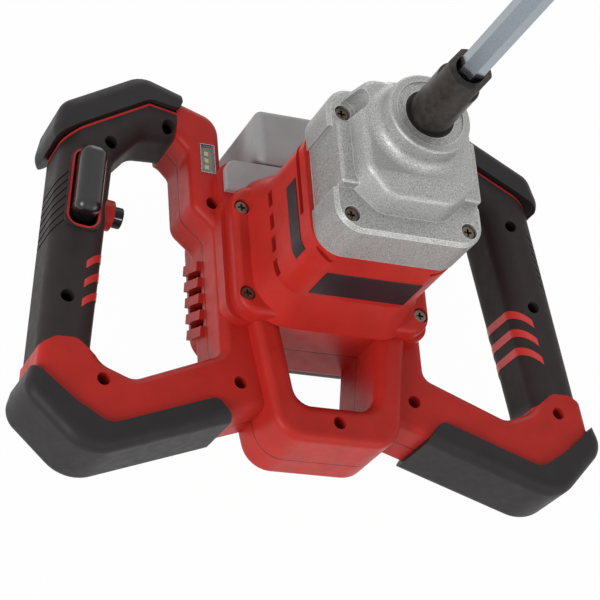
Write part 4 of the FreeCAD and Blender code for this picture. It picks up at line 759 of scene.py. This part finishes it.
class DRILL_OT_studio(bpy.types.Operator):
    """Pale floor, soft lamps and a camera at the photograph's angle"""

    bl_idname = "drill.studio"
    bl_label = "Studio"

    def execute(self, context):
        scene = context.scene
        scene.view_settings.view_transform = "Standard"
        work = bmesh.new()
        bmesh.ops.create_grid(work, x_segments=1, y_segments=1, size=FLOOR_HALF)
        mesh = bpy.data.meshes.new("studio_floor")
        work.to_mesh(mesh)
        work.free()
        floor = bpy.data.objects.new("studio_floor", mesh)
        scene.collection.objects.link(floor)
        mesh.materials.append(self.floor_paint())
        self.world(scene)
        for lamp in LAMPS:
            self.lamp(*lamp)
        camera = bpy.data.objects.new("photo_camera", bpy.data.cameras.new("photo_camera"))
        scene.collection.objects.link(camera)
        turn = Matrix(CAMERA_AXES).transposed().to_4x4()
        camera.matrix_world = Matrix.Translation(CAMERA_PLACE) @ turn
        camera.data.sensor_width = CAMERA_SENSOR
        camera.data.lens = CAMERA_LENS
        scene.camera = camera
        return {"FINISHED"}

    def seen(self, tree):
        """1 for rays from the camera, and for those that metal and glass send on."""
        ray = tree.nodes.new("ShaderNodeLightPath").outputs
        total = ray["Is Camera Ray"]
        for name in ("Is Glossy Ray", "Is Transmission Ray"):
            node = tree.nodes.new("ShaderNodeMath")
            node.operation = "MAXIMUM"
            tree.links.new(total, node.inputs[0])
            tree.links.new(ray[name], node.inputs[1])
            total = node.outputs["Value"]
        return total

    def floor_paint(self):
        """A white floor that still takes the drill's shadow."""
        made = Finish("studio_floor")
        made.set(Base_Color=(0.9, 0.9, 0.9, 1), Roughness=0.9)
        light = made.add("ShaderNodeEmission")
        light.inputs["Color"].default_value = (1, 1, 1, 1)
        blend = made.add("ShaderNodeMixShader")
        made.join(made.math("MULTIPLY", self.seen(made.tree), FLOOR_GLOW), blend.inputs["Fac"])
        made.join(made.shader.outputs["BSDF"], blend.inputs[1])
        made.join(light.outputs["Emission"], blend.inputs[2])
        made.join(blend.outputs["Shader"], made.tree.nodes["Material Output"].inputs["Surface"])
        return made.material

    def world(self, scene):
        """Even pale light from all round, white to the camera."""
        world = bpy.data.worlds.new("studio_world")
        world.use_nodes = True
        scene.world = world
        tree = world.node_tree
        strength = tree.nodes.new("ShaderNodeMapRange")
        strength.inputs["To Min"].default_value = WORLD_LIGHT
        strength.inputs["To Max"].default_value = 1.0
        tree.links.new(self.seen(tree), strength.inputs["Value"])
        tree.links.new(strength.outputs["Result"], tree.nodes["Background"].inputs["Strength"])
        tree.nodes["Background"].inputs["Color"].default_value = (1, 1, 1, 1)

    def lamp(self, name, place, size, power):
        """A square soft lamp that faces the drill."""
        data = bpy.data.lights.new(name, "AREA")
        data.size = size
        data.energy = power
        made = bpy.data.objects.new(name, data)
        bpy.context.scene.collection.objects.link(made)
        made.location = place
        made.rotation_euler = (Vector(LAMP_AIM) - Vector(place)).to_track_quat("-Z", "Y").to_euler()


class DRILL_PT_finish(bpy.types.Panel):
    """Finishes of the mixing drill"""

    bl_label = "Mixing Drill"
    bl_idname = "DRILL_PT_finish"
    bl_space_type = "VIEW_3D"
    bl_region_type = "UI"
    bl_category = "Mixing Drill"

    def draw(self, context):
        for group in (context.scene.drill_colours, context.scene.drill_sizes):
            for name in group.bl_rna.properties.keys():
                if name not in ("rna_type", "name"):
                    self.layout.prop(group, name)
        for operator in OPERATORS:
            self.layout.operator(operator.bl_idname)


OPERATORS = (DRILL_OT_studio, DRILL_OT_shells, DRILL_OT_grips, DRILL_OT_castings, DRILL_OT_drive,
             DRILL_OT_screws, DRILL_OT_controls, DRILL_OT_battery, DRILL_OT_lamp, DRILL_OT_stripes,
             DRILL_OT_plates)
CLASSES = (DrillColours, DrillSizes, *OPERATORS, DRILL_PT_finish)


def register():
    for item in CLASSES:
        bpy.utils.register_class(item)
    bpy.types.Scene.drill_colours = PointerProperty(type=DrillColours)
    bpy.types.Scene.drill_sizes = PointerProperty(type=DrillSizes)


def unregister():
    del bpy.types.Scene.drill_sizes
    del bpy.types.Scene.drill_colours
    for item in reversed(CLASSES):
        bpy.utils.unregister_class(item)


def main():
    register()
    for operator in OPERATORS:
        getattr(bpy.ops.drill, operator.bl_idname.split(".")[1])()


if __name__ == "__main__":
    main()
